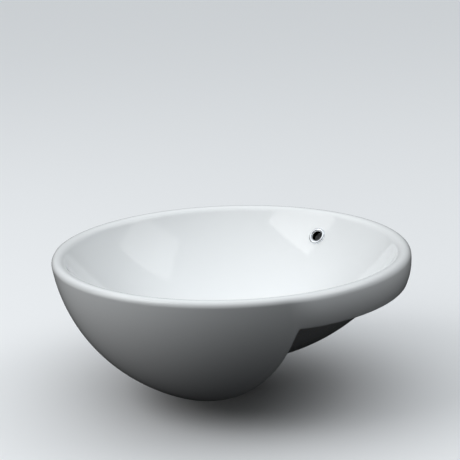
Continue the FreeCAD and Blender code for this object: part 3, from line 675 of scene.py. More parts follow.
# ---------------------------------------------------------------- ceramic casting
@dataclass
class CeramicBasin:
    """The one ceramic casting: rim, rear band, front skirt, hidden bowl, boss and duct."""

    rim_radius: float = 230 * MM
    rim_top: float = 42 * MM
    bowl_depth: float = 129 * MM
    lip_round: float = 12 * MM
    outer_lip: float = 7 * MM
    bowl_wall: float = 12 * MM
    arc_out: float = 19.4 * MM
    skirt_rise: float = 21 * MM
    skirt_wall: float = 12 * MM
    setback: float = 115 * MM
    edge_round: float = 2.5 * MM
    foot_round: float = 1 * MM
    corner_fill: float = 3 * MM
    hidden_fill: float = 5 * MM
    band_lip: float = 9 * MM
    band_arc: float = 70 * MM
    band_arc_up: float = 27 * MM
    crease_lean: float = 16 * MM
    crease_foot_lean: float = 8 * MM
    crease_run: float = 40 * MM
    boss_radius: float = 41 * MM
    outlet_radius: float = 23 * MM
    outlet_length: float = 38 * MM
    outlet_edge: float = 1 * MM
    boss_edge: float = 2.5 * MM
    boss_fill: float = 8 * MM
    recess_radius: float = 33 * MM
    recess_depth: float = 3.5 * MM
    channel_skin: float = 9 * MM
    channel_gap: float = 10 * MM
    channel_width: float = 36 * MM
    channel_pocket: float = 9.8 * MM
    duct_wall: float = 8 * MM
    duct_side_round: float = 6 * MM
    duct_end_round: float = 4 * MM
    duct_fill: float = 7 * MM
    overflow_drop: float = 31 * MM
    overflow_radius: float = 11 * MM
    vent_radius: float = 7 * MM
    vent_gap: float = 3 * MM
    hollow_top: float = -1 * MM

    def __post_init__(self) -> None:
        """Work out the shared places from the driving sizes."""
        depth = self.bowl_depth
        self.bowl_bottom = self.rim_top - depth
        self.crest = self.rim_radius - self.outer_lip
        self.sphere = (self.crest ** 2 + depth * (depth - 2 * self.lip_round)) / (2 * depth)
        self.centre = self.bowl_bottom + self.sphere
        drop = self.centre - self.rim_top + self.lip_round
        self.lip_tilt = math.atan2(self.crest, drop)
        self.outer_lip_up = self.rim_top - self.outer_lip
        self.arc_up = self.rim_top + self.skirt_rise
        rise = self.skirt_rise + self.outer_lip
        self.skirt_arc = math.hypot(self.crest - self.arc_out, rise) + self.outer_lip
        self.skirt_tilt = math.atan2(rise, self.crest - self.arc_out)
        lean = self.rim_top - self.band_lip - self.band_arc_up
        self.band_tilt = -math.asin(lean / (self.band_arc - self.band_lip))
        self.band_out = self.crest - (self.band_arc - self.band_lip) * math.cos(self.band_tilt)
        self.hidden = self.sphere + self.bowl_wall
        self.hidden_seat = math.sqrt(self.hidden ** 2 - self.centre ** 2)
        self.duct_outside = (self.sphere + self.channel_skin + self.channel_gap
                             + self.duct_wall)
        self.half_duct = self.channel_width / 2 + self.duct_wall
        overflow_rise = self.centre - self.rim_top + self.overflow_drop
        self.overflow_out = math.sqrt(self.sphere ** 2 - overflow_rise ** 2)
        self.channel_reach = self.overflow_out + self.channel_pocket
        self.duct_reach = self.channel_reach + self.duct_wall
        self.underside = self.bowl_bottom - self.outlet_length
        self.skirt_seat = self.arc_out + math.sqrt(self.skirt_arc ** 2 - self.arc_up ** 2)
        self.corner = math.acos(self.setback / self.skirt_seat)
        self.crease_top = math.acos((self.setback + self.crease_lean) / self.rim_radius)
        foot = float(self.band_radius(np.float64(0)))
        self.crease_foot = math.acos((self.setback + self.crease_foot_lean) / foot)

    def band_share(self, heading: Array, height: Array) -> Array:
        """How much of the wall is the rear band's: 1 - (1 - t)^2 past the crease.

        Args:
            heading: angle from the front, not negative.
            height: above the level that the band stands on.

        Returns:
            0 on the skirt, rising without a bend at its end to 1 on the band.
        """
        share = np.clip((height - self.foot_round) / (self.outer_lip_up - self.foot_round), 0, 1)
        crease = self.crease_foot + share * (self.crease_top - self.crease_foot)
        past = np.clip((heading - crease) / (self.crease_run / self.rim_radius), 0, 1)
        return 1 - (1 - past) ** 2

    def band_radius(self, height: Array) -> Array:
        """Radius of the rear band, an upright arc that the lip's outer arc runs into."""
        rise = height - self.band_arc_up
        return self.band_out + np.sqrt(np.maximum(self.band_arc ** 2 - rise ** 2, 0))

    def wall(self, p: Array) -> Array:
        """Distance to the outer wall: the skirt's turned arc, or the band's.

        Args:
            p: points (..., 3).

        Returns:
            Negative inside the wall.
        """
        out = np.hypot(p[..., 0], p[..., 1])
        heading = np.abs(np.arctan2(p[..., 0], -p[..., 1]))
        skirt = np.hypot(out - self.arc_out, p[..., 2] - self.arc_up) - self.skirt_arc
        band = np.hypot(out - self.band_out, p[..., 2] - self.band_arc_up) - self.band_arc
        share = self.band_share(heading, p[..., 2])
        return skirt + share * (band - skirt)

    def hidden_side(self, p: Array) -> Array:
        """Distance to the hidden bowl's sphere with the overflow duct and the outlet boss.

        Args:
            p: points (..., 3).

        Returns:
            Negative inside them.
        """
        out = np.hypot(p[..., 0], p[..., 1])
        from_centre = np.sqrt(out ** 2 + (p[..., 2] - self.centre) ** 2)
        duct = common_round(from_centre - self.duct_outside,
                            np.abs(p[..., 0]) - self.half_duct, self.duct_side_round)
        duct = common_round(duct, p[..., 1] - self.duct_reach, self.duct_end_round)
        duct = np.maximum(duct, -p[..., 1])
        boss = common_round(out - self.boss_radius, self.underside - p[..., 2], self.boss_edge)
        bowl = union_round(from_centre - self.hidden, duct, self.duct_fill)
        return union_round(bowl, boss, self.boss_fill)

    def solid(self, p: Array) -> Array:
        """Distance to the casting's outside, every corner of it rounded as a mould needs.

        The step is the union of what lies in front of its upright face and what lies above
        its level face.  The hidden bowl's fill works only below that level, so it leaves the
        lip alone.

        Args:
            p: points (..., 3).

        Returns:
            Negative inside the casting.
        """
        step = union_round(p[..., 1] + self.setback, -p[..., 2], self.corner_fill)
        ease = 6 * MM
        front = smooth_step(-p[..., 1] - self.setback, -ease, ease)
        rounding = self.foot_round + (self.edge_round - self.foot_round) * front
        outside = common_round(self.wall(p), step, rounding)
        hidden = np.maximum(self.hidden_side(p), p[..., 2])
        whole = union_round(outside, hidden, self.hidden_fill)
        out = np.hypot(p[..., 0], p[..., 1])
        return common_round(whole, self.outlet_radius - out, self.outlet_edge)

    def headings(self) -> Array:
        """Angles of the columns, closer together at the step's corners and at the duct.

        Returns:
            Radians from the front, from -pi up to but not including pi.
        """
        widest, corner_gain, corner_reach, back_gain, back_reach = 1.35, 1.1, 5, 0.8, 9
        angle = np.linspace(0, math.pi, 7201)
        from_corner = np.degrees(np.abs(angle - self.corner)) / corner_reach
        from_back = (180 - np.degrees(angle)) / back_reach
        spacing = (widest - corner_gain * np.exp(-from_corner ** 2)
                   - back_gain * np.exp(-from_back ** 4))
        count = np.concatenate([[0], np.cumsum(0.5 / spacing[1:] + 0.5 / spacing[:-1])])
        half = round(count[-1] * np.degrees(angle[1]))
        steps = np.interp(np.linspace(0, count[-1], half + 1), count, angle)
        return np.concatenate([-steps[:0:-1], steps[:-1]])

    def inside_rows(self, heading: Array) -> Array:
        """The sunk flange seat, the bowl and the lip, which are turned round the axis.

        The bowl is a sphere; the lip is an arc that touches it, then a tighter one that
        ends where it touches the wall below.

        Args:
            heading: angle of each column.

        Returns:
            Points (rows, columns, 3).
        """
        floor = self.bowl_bottom - self.recess_depth
        bore_start, run_out, run_up = 4 * MM, 4 * MM, 0.55 * MM
        edge_up = self.centre - math.sqrt(self.sphere ** 2 - self.recess_radius ** 2)
        seat = round_corners([
            (self.outlet_radius, floor - bore_start, 0), (self.outlet_radius, floor, 1 * MM),
            (self.recess_radius, floor, 1.5 * MM), (self.recess_radius, edge_up, 1 * MM),
            (self.recess_radius + run_out, edge_up + run_up, 0),
        ], closed=False, steps=4)[:-1]
        start = math.asin((self.recess_radius + 3 * MM) / self.sphere)
        left = np.linspace(1, 0, 54, endpoint=False)
        tilt = start + (self.lip_tilt - start) * (1 - left ** 1.5)
        bowl = np.stack([self.sphere * np.sin(tilt), self.centre - self.sphere * np.cos(tilt)], 1)
        tilt = np.linspace(-self.lip_tilt, 0, 12, endpoint=False)
        lip = np.stack([self.crest + self.lip_round * np.sin(tilt),
                        self.rim_top - self.lip_round + self.lip_round * np.cos(tilt)], 1)
        turned = np.concatenate([seat, bowl, lip])[:, None, :]
        turned = np.broadcast_to(turned, (len(turned), len(heading), 2))

        share = self.band_share(np.abs(heading), np.full(len(heading), self.outer_lip_up))
        end = math.pi / 2 + self.skirt_tilt + share * (self.band_tilt - self.skirt_tilt)
        tilt = np.linspace(0, 1, 16, endpoint=False)[:, None] * end
        lip = self.outer_lip + share * (self.band_lip - self.outer_lip)
        crest = np.stack([self.crest + lip * np.sin(tilt),
                          self.rim_top - lip + lip * np.cos(tilt)], -1)
        rows = np.concatenate([turned, crest])
        return around(heading, rows[..., 0], rows[..., 1])

    def outside_rows(self, heading: Array) -> Array:
        """The wall, the step's faces, the hidden bowl, the boss and the bore, sharp-edged.

        Each column runs down the wall to where the wall meets the step, across the step's
        upright or level face, over the hidden bowl and down the boss.  On the step's faces
        it is straight in (x, v), where v is the height on the upright face and the distance
        behind it on the level one.

        Args:
            heading: angle of each column.

        Returns:
            Points (rows, columns, 3), a few millimetres from the casting at most.
        """
        side, turn = np.sign(heading), np.abs(heading)
        in_front = turn < self.corner

        share = self.band_share(turn, np.full(len(turn), self.outer_lip_up))
        tilt = self.skirt_tilt + share * (self.band_tilt - self.skirt_tilt)
        lip = self.outer_lip + share * (self.band_lip - self.outer_lip)
        top = self.rim_top - lip - lip * np.sin(tilt)
        step_out = self.setback / np.cos(np.where(in_front, turn, 0))
        reach = np.sqrt(self.skirt_arc ** 2 - (step_out - self.arc_out) ** 2)
        foot = np.where(in_front, self.arc_up - reach, 0)
        height = top + (foot - top) * graded(top - foot, 7 * MM, 8, 26)
        skirt = self.arc_out + np.sqrt(self.skirt_arc ** 2 - (height - self.arc_up) ** 2)
        band = self.band_share(turn, height)
        out = skirt + band * (self.band_radius(height) - skirt)
        wall = around(turn, out, height)

        foot_out = np.where(in_front, step_out, self.band_radius(foot))
        foot_x = foot_out * np.sin(turn)
        foot_v = np.where(in_front, foot, self.setback - foot_out * np.cos(turn))
        seat_corner = math.acos(self.setback / self.hidden_seat)
        seat_turn = np.where(
            in_front, turn * seat_corner / self.corner,
            math.pi - (math.pi - turn) * (math.pi - seat_corner) / (math.pi - self.corner))
        ducted = self.duct_share(self.hidden_seat * np.sin(seat_turn), -np.cos(seat_turn))
        behind = self.duct_reach / np.maximum(-np.cos(seat_turn), 0.5)
        seat_out = np.where(in_front, self.setback / np.cos(np.where(in_front, seat_turn, 0)),
                            self.hidden_seat + ducted * (behind - self.hidden_seat))
        seat_up = np.where(in_front, self.centre - np.sqrt(self.hidden ** 2 - seat_out ** 2), 0)
        seat_x = seat_out * np.sin(seat_turn)
        seat_v = np.where(in_front, seat_up, self.setback - seat_out * np.cos(seat_turn))
        part = graded(np.hypot(seat_x - foot_x, seat_v - foot_v), 7 * MM, 7, 12)
        x = foot_x + part * (seat_x - foot_x)
        v = foot_v + part * (seat_v - foot_v)
        face = np.stack([x, np.maximum(v, 0) - self.setback, np.minimum(v, 0)], -1)

        on_duct = self.duct_share(self.boss_radius * np.sin(turn), -np.cos(turn))
        boss_ball = self.hidden + on_duct * (self.duct_outside - self.hidden)
        tilt_end = np.arcsin(self.boss_radius / boss_ball)
        tilt_start = np.arctan2(seat_out, self.centre - seat_up)
        part = graded((tilt_start - tilt_end) * self.hidden, 9 * MM, 6, 28)
        tilt = tilt_start + part * (tilt_end - tilt_start)
        aside = seat_turn + part * (turn - seat_turn)
        x = self.hidden * np.sin(tilt) * np.sin(aside)
        ducted = self.duct_share(x, -np.cos(aside))
        behind = self.duct_reach / np.maximum(-np.cos(aside) * np.sin(tilt), 0.5)
        ball = self.hidden + ducted * (np.minimum(self.duct_outside, behind) - self.hidden)
        bowl = around(aside, ball * np.sin(tilt), self.centre - ball * np.cos(tilt))

        boss_up = self.centre - boss_ball * np.cos(tilt_end)
        part = graded(boss_up - self.underside, 5 * MM, 5, 3)
        down = boss_up + part * (self.underside - boss_up)
        boss = around(turn, self.boss_radius, down)
        width = self.boss_radius - self.outlet_radius
        part = graded(np.full(len(turn), width), 3 * MM, 5, 3)
        under = around(turn, self.boss_radius - part * width, self.underside)
        bore_top = self.bowl_bottom - self.recess_depth - 5 * MM
        part = graded(np.full(len(turn), bore_top - self.underside), 3 * MM, 4, 3)
        bore = around(turn, self.outlet_radius,
                      self.underside + part * (bore_top - self.underside))
        rows = np.concatenate([wall, face, bowl, boss, under, bore])
        rows[..., 0] *= np.where(side == 0, 1, side)
        return rows

    def duct_share(self, x: Array, back: Array) -> Array:
        """1 on the overflow duct, 0 beside it and in front of the axis.

        Args:
            x: how far to the side.
            back: positive behind the outlet axis.

        Returns:
            The share, eased over 10 mm at the duct's sides.
        """
        edge = 5 * MM
        beside = smooth_step(-np.abs(x), -self.half_duct - edge, -self.half_duct + edge)
        return beside * (back > 0)

    def overflow_stand(self) -> Matrix:
        """Where the overflow's axis meets the bowl, its Z along the axis into the bowl.

        Returns:
            The matrix from the ring's own frame.
        """
        level = self.rim_top - self.overflow_drop
        tilt = math.acos((self.centre - level) / self.sphere)
        return (Matrix.Translation((0, self.overflow_out, level))
                @ Matrix.Rotation(tilt, 4, "X"))

    def overflow_tool(self) -> bpy.types.Object:
        """The hole through the bowl's wall into the overflow channel.

        Returns:
            A closed tool.
        """
        half, radius = 14 * MM, self.overflow_radius
        outline = np.array([(0, -half), (radius, -half), (radius, half), (0, half)])
        return lathe("overflow_tool", outline, 72, self.overflow_stand())

    def channel_tool(self) -> bpy.types.Object:
        """The flat channel behind the bowl, from the overflow down to the outlet's bore.

        A rounded box in (x, angle from the upright, distance from the bowl's centre).

        Returns:
            A closed tool.
        """
        start_out, end_gap, middle, power = 8 * MM, 2 * MM, 14 * MM, 0.35
        low = math.asin(start_out / self.sphere)
        high = math.asin((self.channel_reach - end_gap) / (self.sphere + middle))
        near = self.sphere + self.channel_skin
        rows, columns = 33, 64
        box = flat_ball(rows, columns, power)
        tilt = low + (high - low) * (box[..., 2] + 1) / 2
        ball_radius = near + self.channel_gap * (box[..., 1] + 1) / 2
        points = np.stack([box[..., 0] * self.channel_width / 2, ball_radius * np.sin(tilt),
                           self.centre - ball_radius * np.cos(tilt)], -1)
        return mesh_object("channel_tool", points.reshape(-1, 3),
                           grid_faces(rows, columns, False, True))

    def hollow_tool(self) -> bpy.types.Object:
        """The hollow of the front skirt, between its wall, its back face and the bowl.

        In the upright plane at each angle its corners are where the skirt's inner arc, the
        back wall's inner face, the hidden bowl and the level of its top meet.

        Returns:
            A closed tool.
        """
        columns, rows, reach = 57, 16, 49
        turn = np.radians(np.linspace(-reach, reach, columns))
        share = np.linspace(0, 1, rows, endpoint=False)[:, None]
        inner = self.skirt_arc - self.skirt_wall
        back = (self.setback + self.skirt_wall) / np.cos(turn)
        top = self.hollow_top
        skirt_top = self.arc_out + math.sqrt(inner ** 2 - (top - self.arc_up) ** 2)
        bowl_top = math.sqrt(self.hidden ** 2 - (top - self.centre) ** 2)

        def on_skirt(out: Array) -> Array:
            """Height of the skirt's inner arc."""
            return self.arc_up - np.sqrt(inner ** 2 - (out - self.arc_out) ** 2)

        def on_bowl(out: Array) -> Array:
            """Height of the hidden bowl's sphere."""
            return self.centre - np.sqrt(self.hidden ** 2 - out ** 2)

        near = skirt_top + share * (back - skirt_top)
        far = back + share * (bowl_top - back)
        low, high = on_skirt(back), on_bowl(back)
        sides = ((near, on_skirt(near)), (back, low + share * (high - low)),
                 (far, on_bowl(far)), (bowl_top + share * (skirt_top - bowl_top), top))
        loop = np.concatenate([around(turn, *side) for side in sides])
        ends = loop[:, [0, -1]].mean(0)
        points = np.concatenate([loop.reshape(-1, 3), ends])
        count = len(loop)
        faces = [grid_faces(count, columns, True, False)]
        edge = np.arange(count) * columns
        for column, hub in ((0, len(points) - 2), (columns - 1, len(points) - 1)):
            rim, middle = edge + column, np.full(count, hub)
            fan = np.stack([rim, np.roll(rim, -1), middle, middle], 1)
            faces.append(fan if column == 0 else fan[:, [1, 0, 2, 3]])
        return mesh_object("hollow_tool", points, np.concatenate(faces))

    def vent_tool(self) -> bpy.types.Object:
        """The drain hole of the hollow skirt, through its back face.

        Returns:
            A closed tool.
        """
        start = 2 * MM
        length = self.skirt_wall + 2 * start
        inner, back = self.skirt_arc - self.skirt_wall, self.setback + self.skirt_wall
        floor = self.arc_up - math.sqrt(inner ** 2 - (back - self.arc_out) ** 2)
        up = floor + self.vent_gap + self.vent_radius
        radius = self.vent_radius
        outline = np.array([(0, 0), (radius, 0), (radius, length), (0, length)])
        stand = (Matrix.Translation((0, -self.setback + start, up))
                 @ Matrix.Rotation(math.pi / 2, 4, "X"))
        return lathe("vent_tool", outline, 48, stand)

    def mark_bare_and_duct_shade(self, piece: bpy.types.Object) -> None:
        """Write where the glaze is wiped off or thin, and where the overflow channel gets painted
        shade.

        Args:
            piece: the finished casting.
        """
        p = vertex_places(piece)
        near = 0.4 * MM
        seat = (np.abs(p[:, 2]) < near) & (p[:, 1] > -self.setback)
        back = (np.abs(p[:, 1] + self.setback) < near) & (p[:, 2] < 0)
        boss = np.abs(p[:, 2] - self.underside) < near
        from_centre = np.linalg.norm(p - (0, 0, self.centre), axis=1)
        hidden = (from_centre > self.hidden - 1 * MM) & (p[:, 2] < 0) & (p[:, 1] > -self.setback)
        thin = 0.35
        bare = np.where(seat | back | boss, 1.0, np.where(hidden, thin, 0.0))
        # Painted shade: the overflow channel's inner faces are marked for near-black colour, where
        # only shade falls.
        far = self.sphere + self.channel_skin + self.channel_gap + near
        duct = ((from_centre > self.sphere + 1.5 * MM) & (from_centre < far)
                & (np.abs(p[:, 0]) < self.channel_width / 2 + near)
                & (p[:, 1] > 30 * MM) & (p[:, 1] < self.channel_reach + near))
        mark(piece, BARE, bare)
        mark(piece, DUCT_SHADE, duct)

    def build(self, wardrobe: Wardrobe) -> None:
        """Make the casting, carve its spaces and dress it.

        Args:
            wardrobe: dresses it.
        """
        heading = self.headings()
        outside = settle(self.outside_rows(heading), self.solid)
        rows = np.concatenate([self.inside_rows(heading), outside])
        faces = grid_faces(len(rows), len(heading), True, True)
        piece = mesh_object("ceramic_casting", rows.reshape(-1, 3), faces)
        LOG.info("casting grid: %d rows, %d columns", len(rows), len(heading))
        carve(piece, self.channel_tool(), self.overflow_tool(), self.hollow_tool(),
              self.vent_tool())
        self.mark_bare_and_duct_shade(piece)
        shade(piece)
        wardrobe.dress(piece, "glazed_ceramic", "basin_set", "basin")


# ---------------------------------------------------------------- overflow trim
@dataclass
class OverflowTrim:
    """The chrome ring on the bowl's rear wall; heights run along its axis into the bowl."""

    outer_radius: float = 12.2 * MM
    bore: float = 7.4 * MM
    height: float = 2.9 * MM
    back: float = 0.35 * MM
    collar_radius: float = 9.5 * MM
    collar_wall: float = 0.6 * MM
    collar_end: float = 9 * MM
    step: float = 0.9 * MM

    def build(self, wardrobe: Wardrobe, stand: Matrix) -> None:
        """Make the ring: a rounded bead between two thin steps, and its thin collar.

        Args:
            wardrobe: dresses it.
            stand: where its axis stands.
        """
        inner = self.collar_radius - self.collar_wall
        outline = round_corners([
            (self.bore, self.back, 0.1 * MM),
            (self.bore, self.height - 1.5 * MM, 0.3 * MM),
            (self.bore + 0.6 * self.step, self.height - 1.4 * MM, 0.1 * MM),
            (self.bore + self.step, self.height - 0.5 * MM, 0.7 * MM),
            ((self.bore + self.outer_radius) / 2, self.height + 0.15 * MM, 2.2 * MM),
            (self.outer_radius - self.step, self.height - 0.6 * MM, 0.9 * MM),
            (self.outer_radius - 0.7 * self.step, self.back + 0.75 * MM, 0.15 * MM),
            (self.outer_radius, self.back + 0.65 * MM, 0.25 * MM),
            (self.outer_radius, self.back, 0.1 * MM),
            (self.collar_radius, self.back, 0),
            (self.collar_radius, -self.collar_end, 0.2 * MM),
            (inner, -self.collar_end, 0.2 * MM),
            (inner, -self.back, 0.2 * MM),
        ])
        piece = lathe("overflow_trim_ring", outline, 160, stand)
        back = np.array(stand.inverted())
        points = vertex_places(piece) @ back[:3, :3].T + back[:3, 3]
        # Painted shade: the collar's inside is marked for near-black colour, where only shade
        # falls.
        mark(piece, DUCT_SHADE, (np.hypot(points[:, 0], points[:, 1]) < inner + 0.1 * MM)
             & (points[:, 2] < -0.3 * self.back))
        shade(piece, 40)
        wardrobe.dress(piece, "chrome_plate", "basin_set", "overflow_ring")


# ---------------------------------------------------------------- waste fitting
def helix_tube(name: str, radius: float, wire: float, low: float, high: float,
               turns: float, sides: int = 14, per_turn: int = 56) -> bpy.types.Object:
    """A round wire wound up a helix whose end turns lie closed.

    The height is low at the start, high at the end, and follows t - sin(2 pi t) / (2 pi)
    mixed with t between, so that the pitch shrinks to a wire's width at both ends.

    Args:
        name: of the object.
        radius: of the wire's middle line.
        wire: radius of the wire.
        low: height of the middle line's start.
        high: height of its end.
        turns: number of turns.
        sides: flat sides round the wire.
        per_turn: rings of points in a turn.

    Returns:
        The object, with both ends closed.
    """
    t = np.linspace(0, 1, round(turns * per_turn) + 1)
    angle = 2 * np.pi * turns * t
    eased = t - np.sin(2 * np.pi * t) / (2 * np.pi)
    height = low + (high - low) * (0.5 * t + 0.5 * eased)
    middle = np.stack([radius * np.cos(angle), radius * np.sin(angle), height], 1)
    ahead = np.gradient(middle, axis=0)
    ahead /= np.linalg.norm(ahead, axis=1, keepdims=True)
    out = np.stack([np.cos(angle), np.sin(angle), 0 * angle], 1)
    over = np.cross(ahead, out)
    turn = np.linspace(0, 2 * np.pi, sides, endpoint=False)[None, :, None]
    rings = middle[:, None] + wire * (np.cos(turn) * out[:, None] + np.sin(turn) * over[:, None])
    start = np.broadcast_to(middle[:1, None], (1, sides, 3))
    end = np.broadcast_to(middle[-1:, None], (1, sides, 3))
    points = np.concatenate([start, rings, end])
    return mesh_object(name, points.reshape(-1, 3), grid_faces(len(points), sides, False, True))


@dataclass
class HexNut:
    """A hexagonal nut whose corners are turned off at both faces, with a threaded bore."""

    flats: float
    height: float
    under: float
    bore: float
    pitch: float

    def build(self, name: str) -> bpy.types.Object:
        """Make the nut.

        The outside is the smaller of the hexagon's radius, flats / (2 cos a) with a the
        angle from the nearest flat's middle, and a cone that leaves each face at the flats'
        radius; the bore carries rounded grooves a pitch apart.

        Args:
            name: of the object.

        Returns:
            The nut.
        """
        edge_round, thread_depth, steps_per_turn = 0.25 * MM, 0.3 * self.pitch, 8
        turn = np.linspace(0, 2 * np.pi, 192, endpoint=False)
        from_flat = (turn + np.pi / 6) % (np.pi / 3) - np.pi / 6
        hexagon = self.flats / 2 / np.cos(from_flat)
        corner = self.flats / math.sqrt(3)
        slope = math.tan(math.radians(30))
        level = np.concatenate([np.linspace(0, 0.3, 13), np.linspace(0.36, 0.64, 5),
                                np.linspace(0.7, 1, 13)])[:, None] * self.height
        from_face = np.minimum(level, self.height - level)
        cone = self.flats / 2 - edge_round + from_face / slope
        outside = -union_round(-hexagon, -np.minimum(cone, corner), edge_round)
        count = max(round(self.height / self.pitch), 2) * steps_per_turn + 1
        inside_level = np.linspace(1, 0, count)[:, None] * self.height
        groove = 0.5 - 0.5 * np.cos(2 * np.pi * inside_level / self.pitch)
        inside = self.bore + thread_depth * groove + 0 * turn
        radius = np.concatenate([outside, inside])
        height = np.concatenate([level, inside_level]) + self.under + 0 * turn
        points = around(turn, radius, height).reshape(-1, 3)
        piece = mesh_object(name, points, grid_faces(len(radius), len(turn), True, True))
        shade(piece, 24)
        return piece


@dataclass
class ReturnSpring:
    """The wound wire spring in the cartridge, which lifts the plug."""

    low: float = -133.4 * MM
    high: float = -115.4 * MM
    radius: float = 4.5 * MM
    wire: float = 0.5 * MM
    turns: float = 8.5
    shut_share: float = 0.5

    def build(self, wardrobe: Wardrobe) -> None:
        """Make the spring and dress it.

        Args:
            wardrobe: dresses it.
        """
        spring = helix_tube("wound_spring", self.radius, self.wire, self.low + self.wire,
                            self.high - self.wire, self.turns)
        shade(spring, 60)
        wardrobe.dress(spring, "spring_steel", "basin_set", "return_spring")
        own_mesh(spring)


def flat_ring(inside: float, outside: float, low: float, high: float, inner_round: float,
              outer_round: float) -> list[Corner]:
    """Corners of a flat ring, with one rounding for its inner edges and one for its outer."""
    return [(inside, low, inner_round), (outside, low, outer_round),
            (outside, high, outer_round), (inside, high, inner_round)]


@dataclass
class WasteFitting:
    """The flanged waste, its clamping rings and the domed plug.

    Sizes are plain millimetres here, and so are the (radius, height, rounding) corners.
    """

    bore: float = 18
    tail_end: float = -150
    thread_radius: float = 20.95
    thread_pitch: float = 2.309
    thread_depth: float = 0.62
    thread_top: float = -94
    tube_columns: int = 160
    relief_low: float = -138.9
    relief_high: float = -137.4
    relief_depth: float = 0.8
    flange_radius: float = 32
    flange_top: float = -85.8
    flange_under: float = -89
    seat_edge: float = 26.5
    seat_radius: float = 25
    seal_seat: float = -87.3
    slot_width: float = 9
    slot_top: float = -96
    slot_height: float = 15
    slot_out: float = 19.5
    slot_reach: float = 4.5
    bar_reach: float = 19
    bar_thickness: float = 6
    bar_top: float = -135.9
    bar_under: float = -142.9
    bar_boss: float = 9
    stud_hole: float = 4.95
    plug_radius: float = 30
    plug_under: float = -75.8
    plug_edge: float = 1.9
    dome_radius: float = 28.5
    dome_low: float = 1.6
    dome_rise: float = 5.6
    seal_inside: float = 19.5
    seal_outside: float = 24.5
    seal_under: float = -78.27
    seal_groove: float = 0.5
    stem_hole: float = 3.05
    stem_hole_top: float = -76
    cap_boss: float = 7
    cap_boss_under: float = -82
    clamp_bore: float = 21
    clamp_radius: float = 31
    gasket_under: float = -90.5
    spigot_top: float = -121.5
    washer_top: float = -125
    slip_top: float = -129
    nut_top: float = -130.5
    cover_radius: float = 9
    cover_top: float = -95.5
    cover_inside: float = -98
    cover_under: float = -104
    barrel_radius: float = 7.65
    rod_hole: float = 4.98

    @staticmethod
    def turned(name: str, corners: Sequence[Corner], segments: int = 128) -> bpy.types.Object:
        """A lathe piece on the outlet axis from its corners.

        Args:
            name: of the piece.
            corners: in millimetres.
            segments: columns round the axis.

        Returns:
            The piece.
        """
        outline = round_corners([tuple(v * MM for v in corner) for corner in corners])
        piece = lathe(name, outline, segments)
        shade(piece, 30)
        return piece

    def thread(self) -> list[Corner]:
        """Corners of the rounded thread, shallower where the backnut's run-out is.

        Returns:
            Corners from the tail upwards.
        """
        corners, level = [], self.tail_end + 1.6
        while level < self.thread_top:
            in_relief = self.relief_low < level < self.relief_high
            crest = self.thread_radius - (self.relief_depth if in_relief else 0)
            corners += [(crest - self.thread_depth, level, 0.12),
                        (crest, level + 0.42 * self.thread_pitch, 0.22),
                        (crest - 0.1, level + 0.6 * self.thread_pitch, 0.22)]
            level += self.thread_pitch
        return corners

    def waste(self) -> bpy.types.Object:
        """The flange, the tube with its thread, the two slots and the cartridge's bar.

        Returns:
            One piece.
        """
        thread, lead = self.thread_radius, 3
        tube = self.turned("waste_tube", [
            (self.bore, self.tail_end, 0.4), (thread - 1.2, self.tail_end, 0.3),
            (thread - 0.2, self.tail_end + 1, 0.3), *self.thread(),
            (thread, self.thread_top + 0.8, 0.2), (thread, self.flange_under, 0.4),
            (self.flange_radius, self.flange_under, 0.3),
            (self.flange_radius, self.flange_top, 1.1), (self.seat_edge, self.flange_top, 0.5),
            (self.seat_radius, self.seal_seat, 0.4), (self.seal_inside, self.seal_seat, 0.6),
            (self.bore, self.seal_seat - lead, 0.8)], self.tube_columns)
        half = np.array([self.slot_width / 2, self.slot_reach, self.slot_height / 2]) * MM
        middle = np.array([0, self.slot_out, self.slot_top - self.slot_height / 2]) * MM
        carve(tube, *(rounded_block("slot", middle * (1, side, 1), half, 0.16)
                      for side in (-1, 1)))
        bar_half = (self.bar_top - self.bar_under) / 2
        bar = rounded_block("bar", np.array([0, 0, self.bar_under + bar_half]) * MM,
                            np.array([self.bar_reach, self.bar_thickness / 2, bar_half]) * MM,
                            0.14)
        boss = self.turned("boss", flat_ring(self.stud_hole, self.bar_boss, self.bar_under,
                                             self.bar_top, 0.3, 0.8), 96)
        hole = lathe("hole", np.array(flat_ring(
            0, self.stud_hole, self.bar_under - 2.1, self.bar_top + 2.9, 0, 0))[:, :2] * MM, 96)
        carve(bar, hole)
        piece = join("waste_casting", tube, bar, boss)
        shade(piece, 30)
        return piece

    def plug(self) -> bpy.types.Object:
        """The domed plug with its seal's groove and its boss for the stem.

        Returns:
            One piece.
        """
        under = self.plug_under
        dome = [(r, under + self.dome_low + self.dome_rise * (1 - (r / self.plug_radius) ** 2), 0)
                for r in np.linspace(self.dome_radius, 0, 24)]
        groove = under + self.seal_groove
        return self.turned("domed_plug", [
            (0, self.stem_hole_top, 0), (self.stem_hole, self.stem_hole_top, 0),
            (self.stem_hole, self.cap_boss_under, 0.3), (self.cap_boss, self.cap_boss_under, 0.6),
            (self.cap_boss, under, 0.8), (self.seal_inside, under, 0.2),
            (self.seal_inside, groove, 0), (self.seal_outside, groove, 0),
            (self.seal_outside, under, 0.2), (self.plug_radius, under, 0.7),
            (self.plug_radius, under + self.plug_edge, 0.7), *dome], 160)

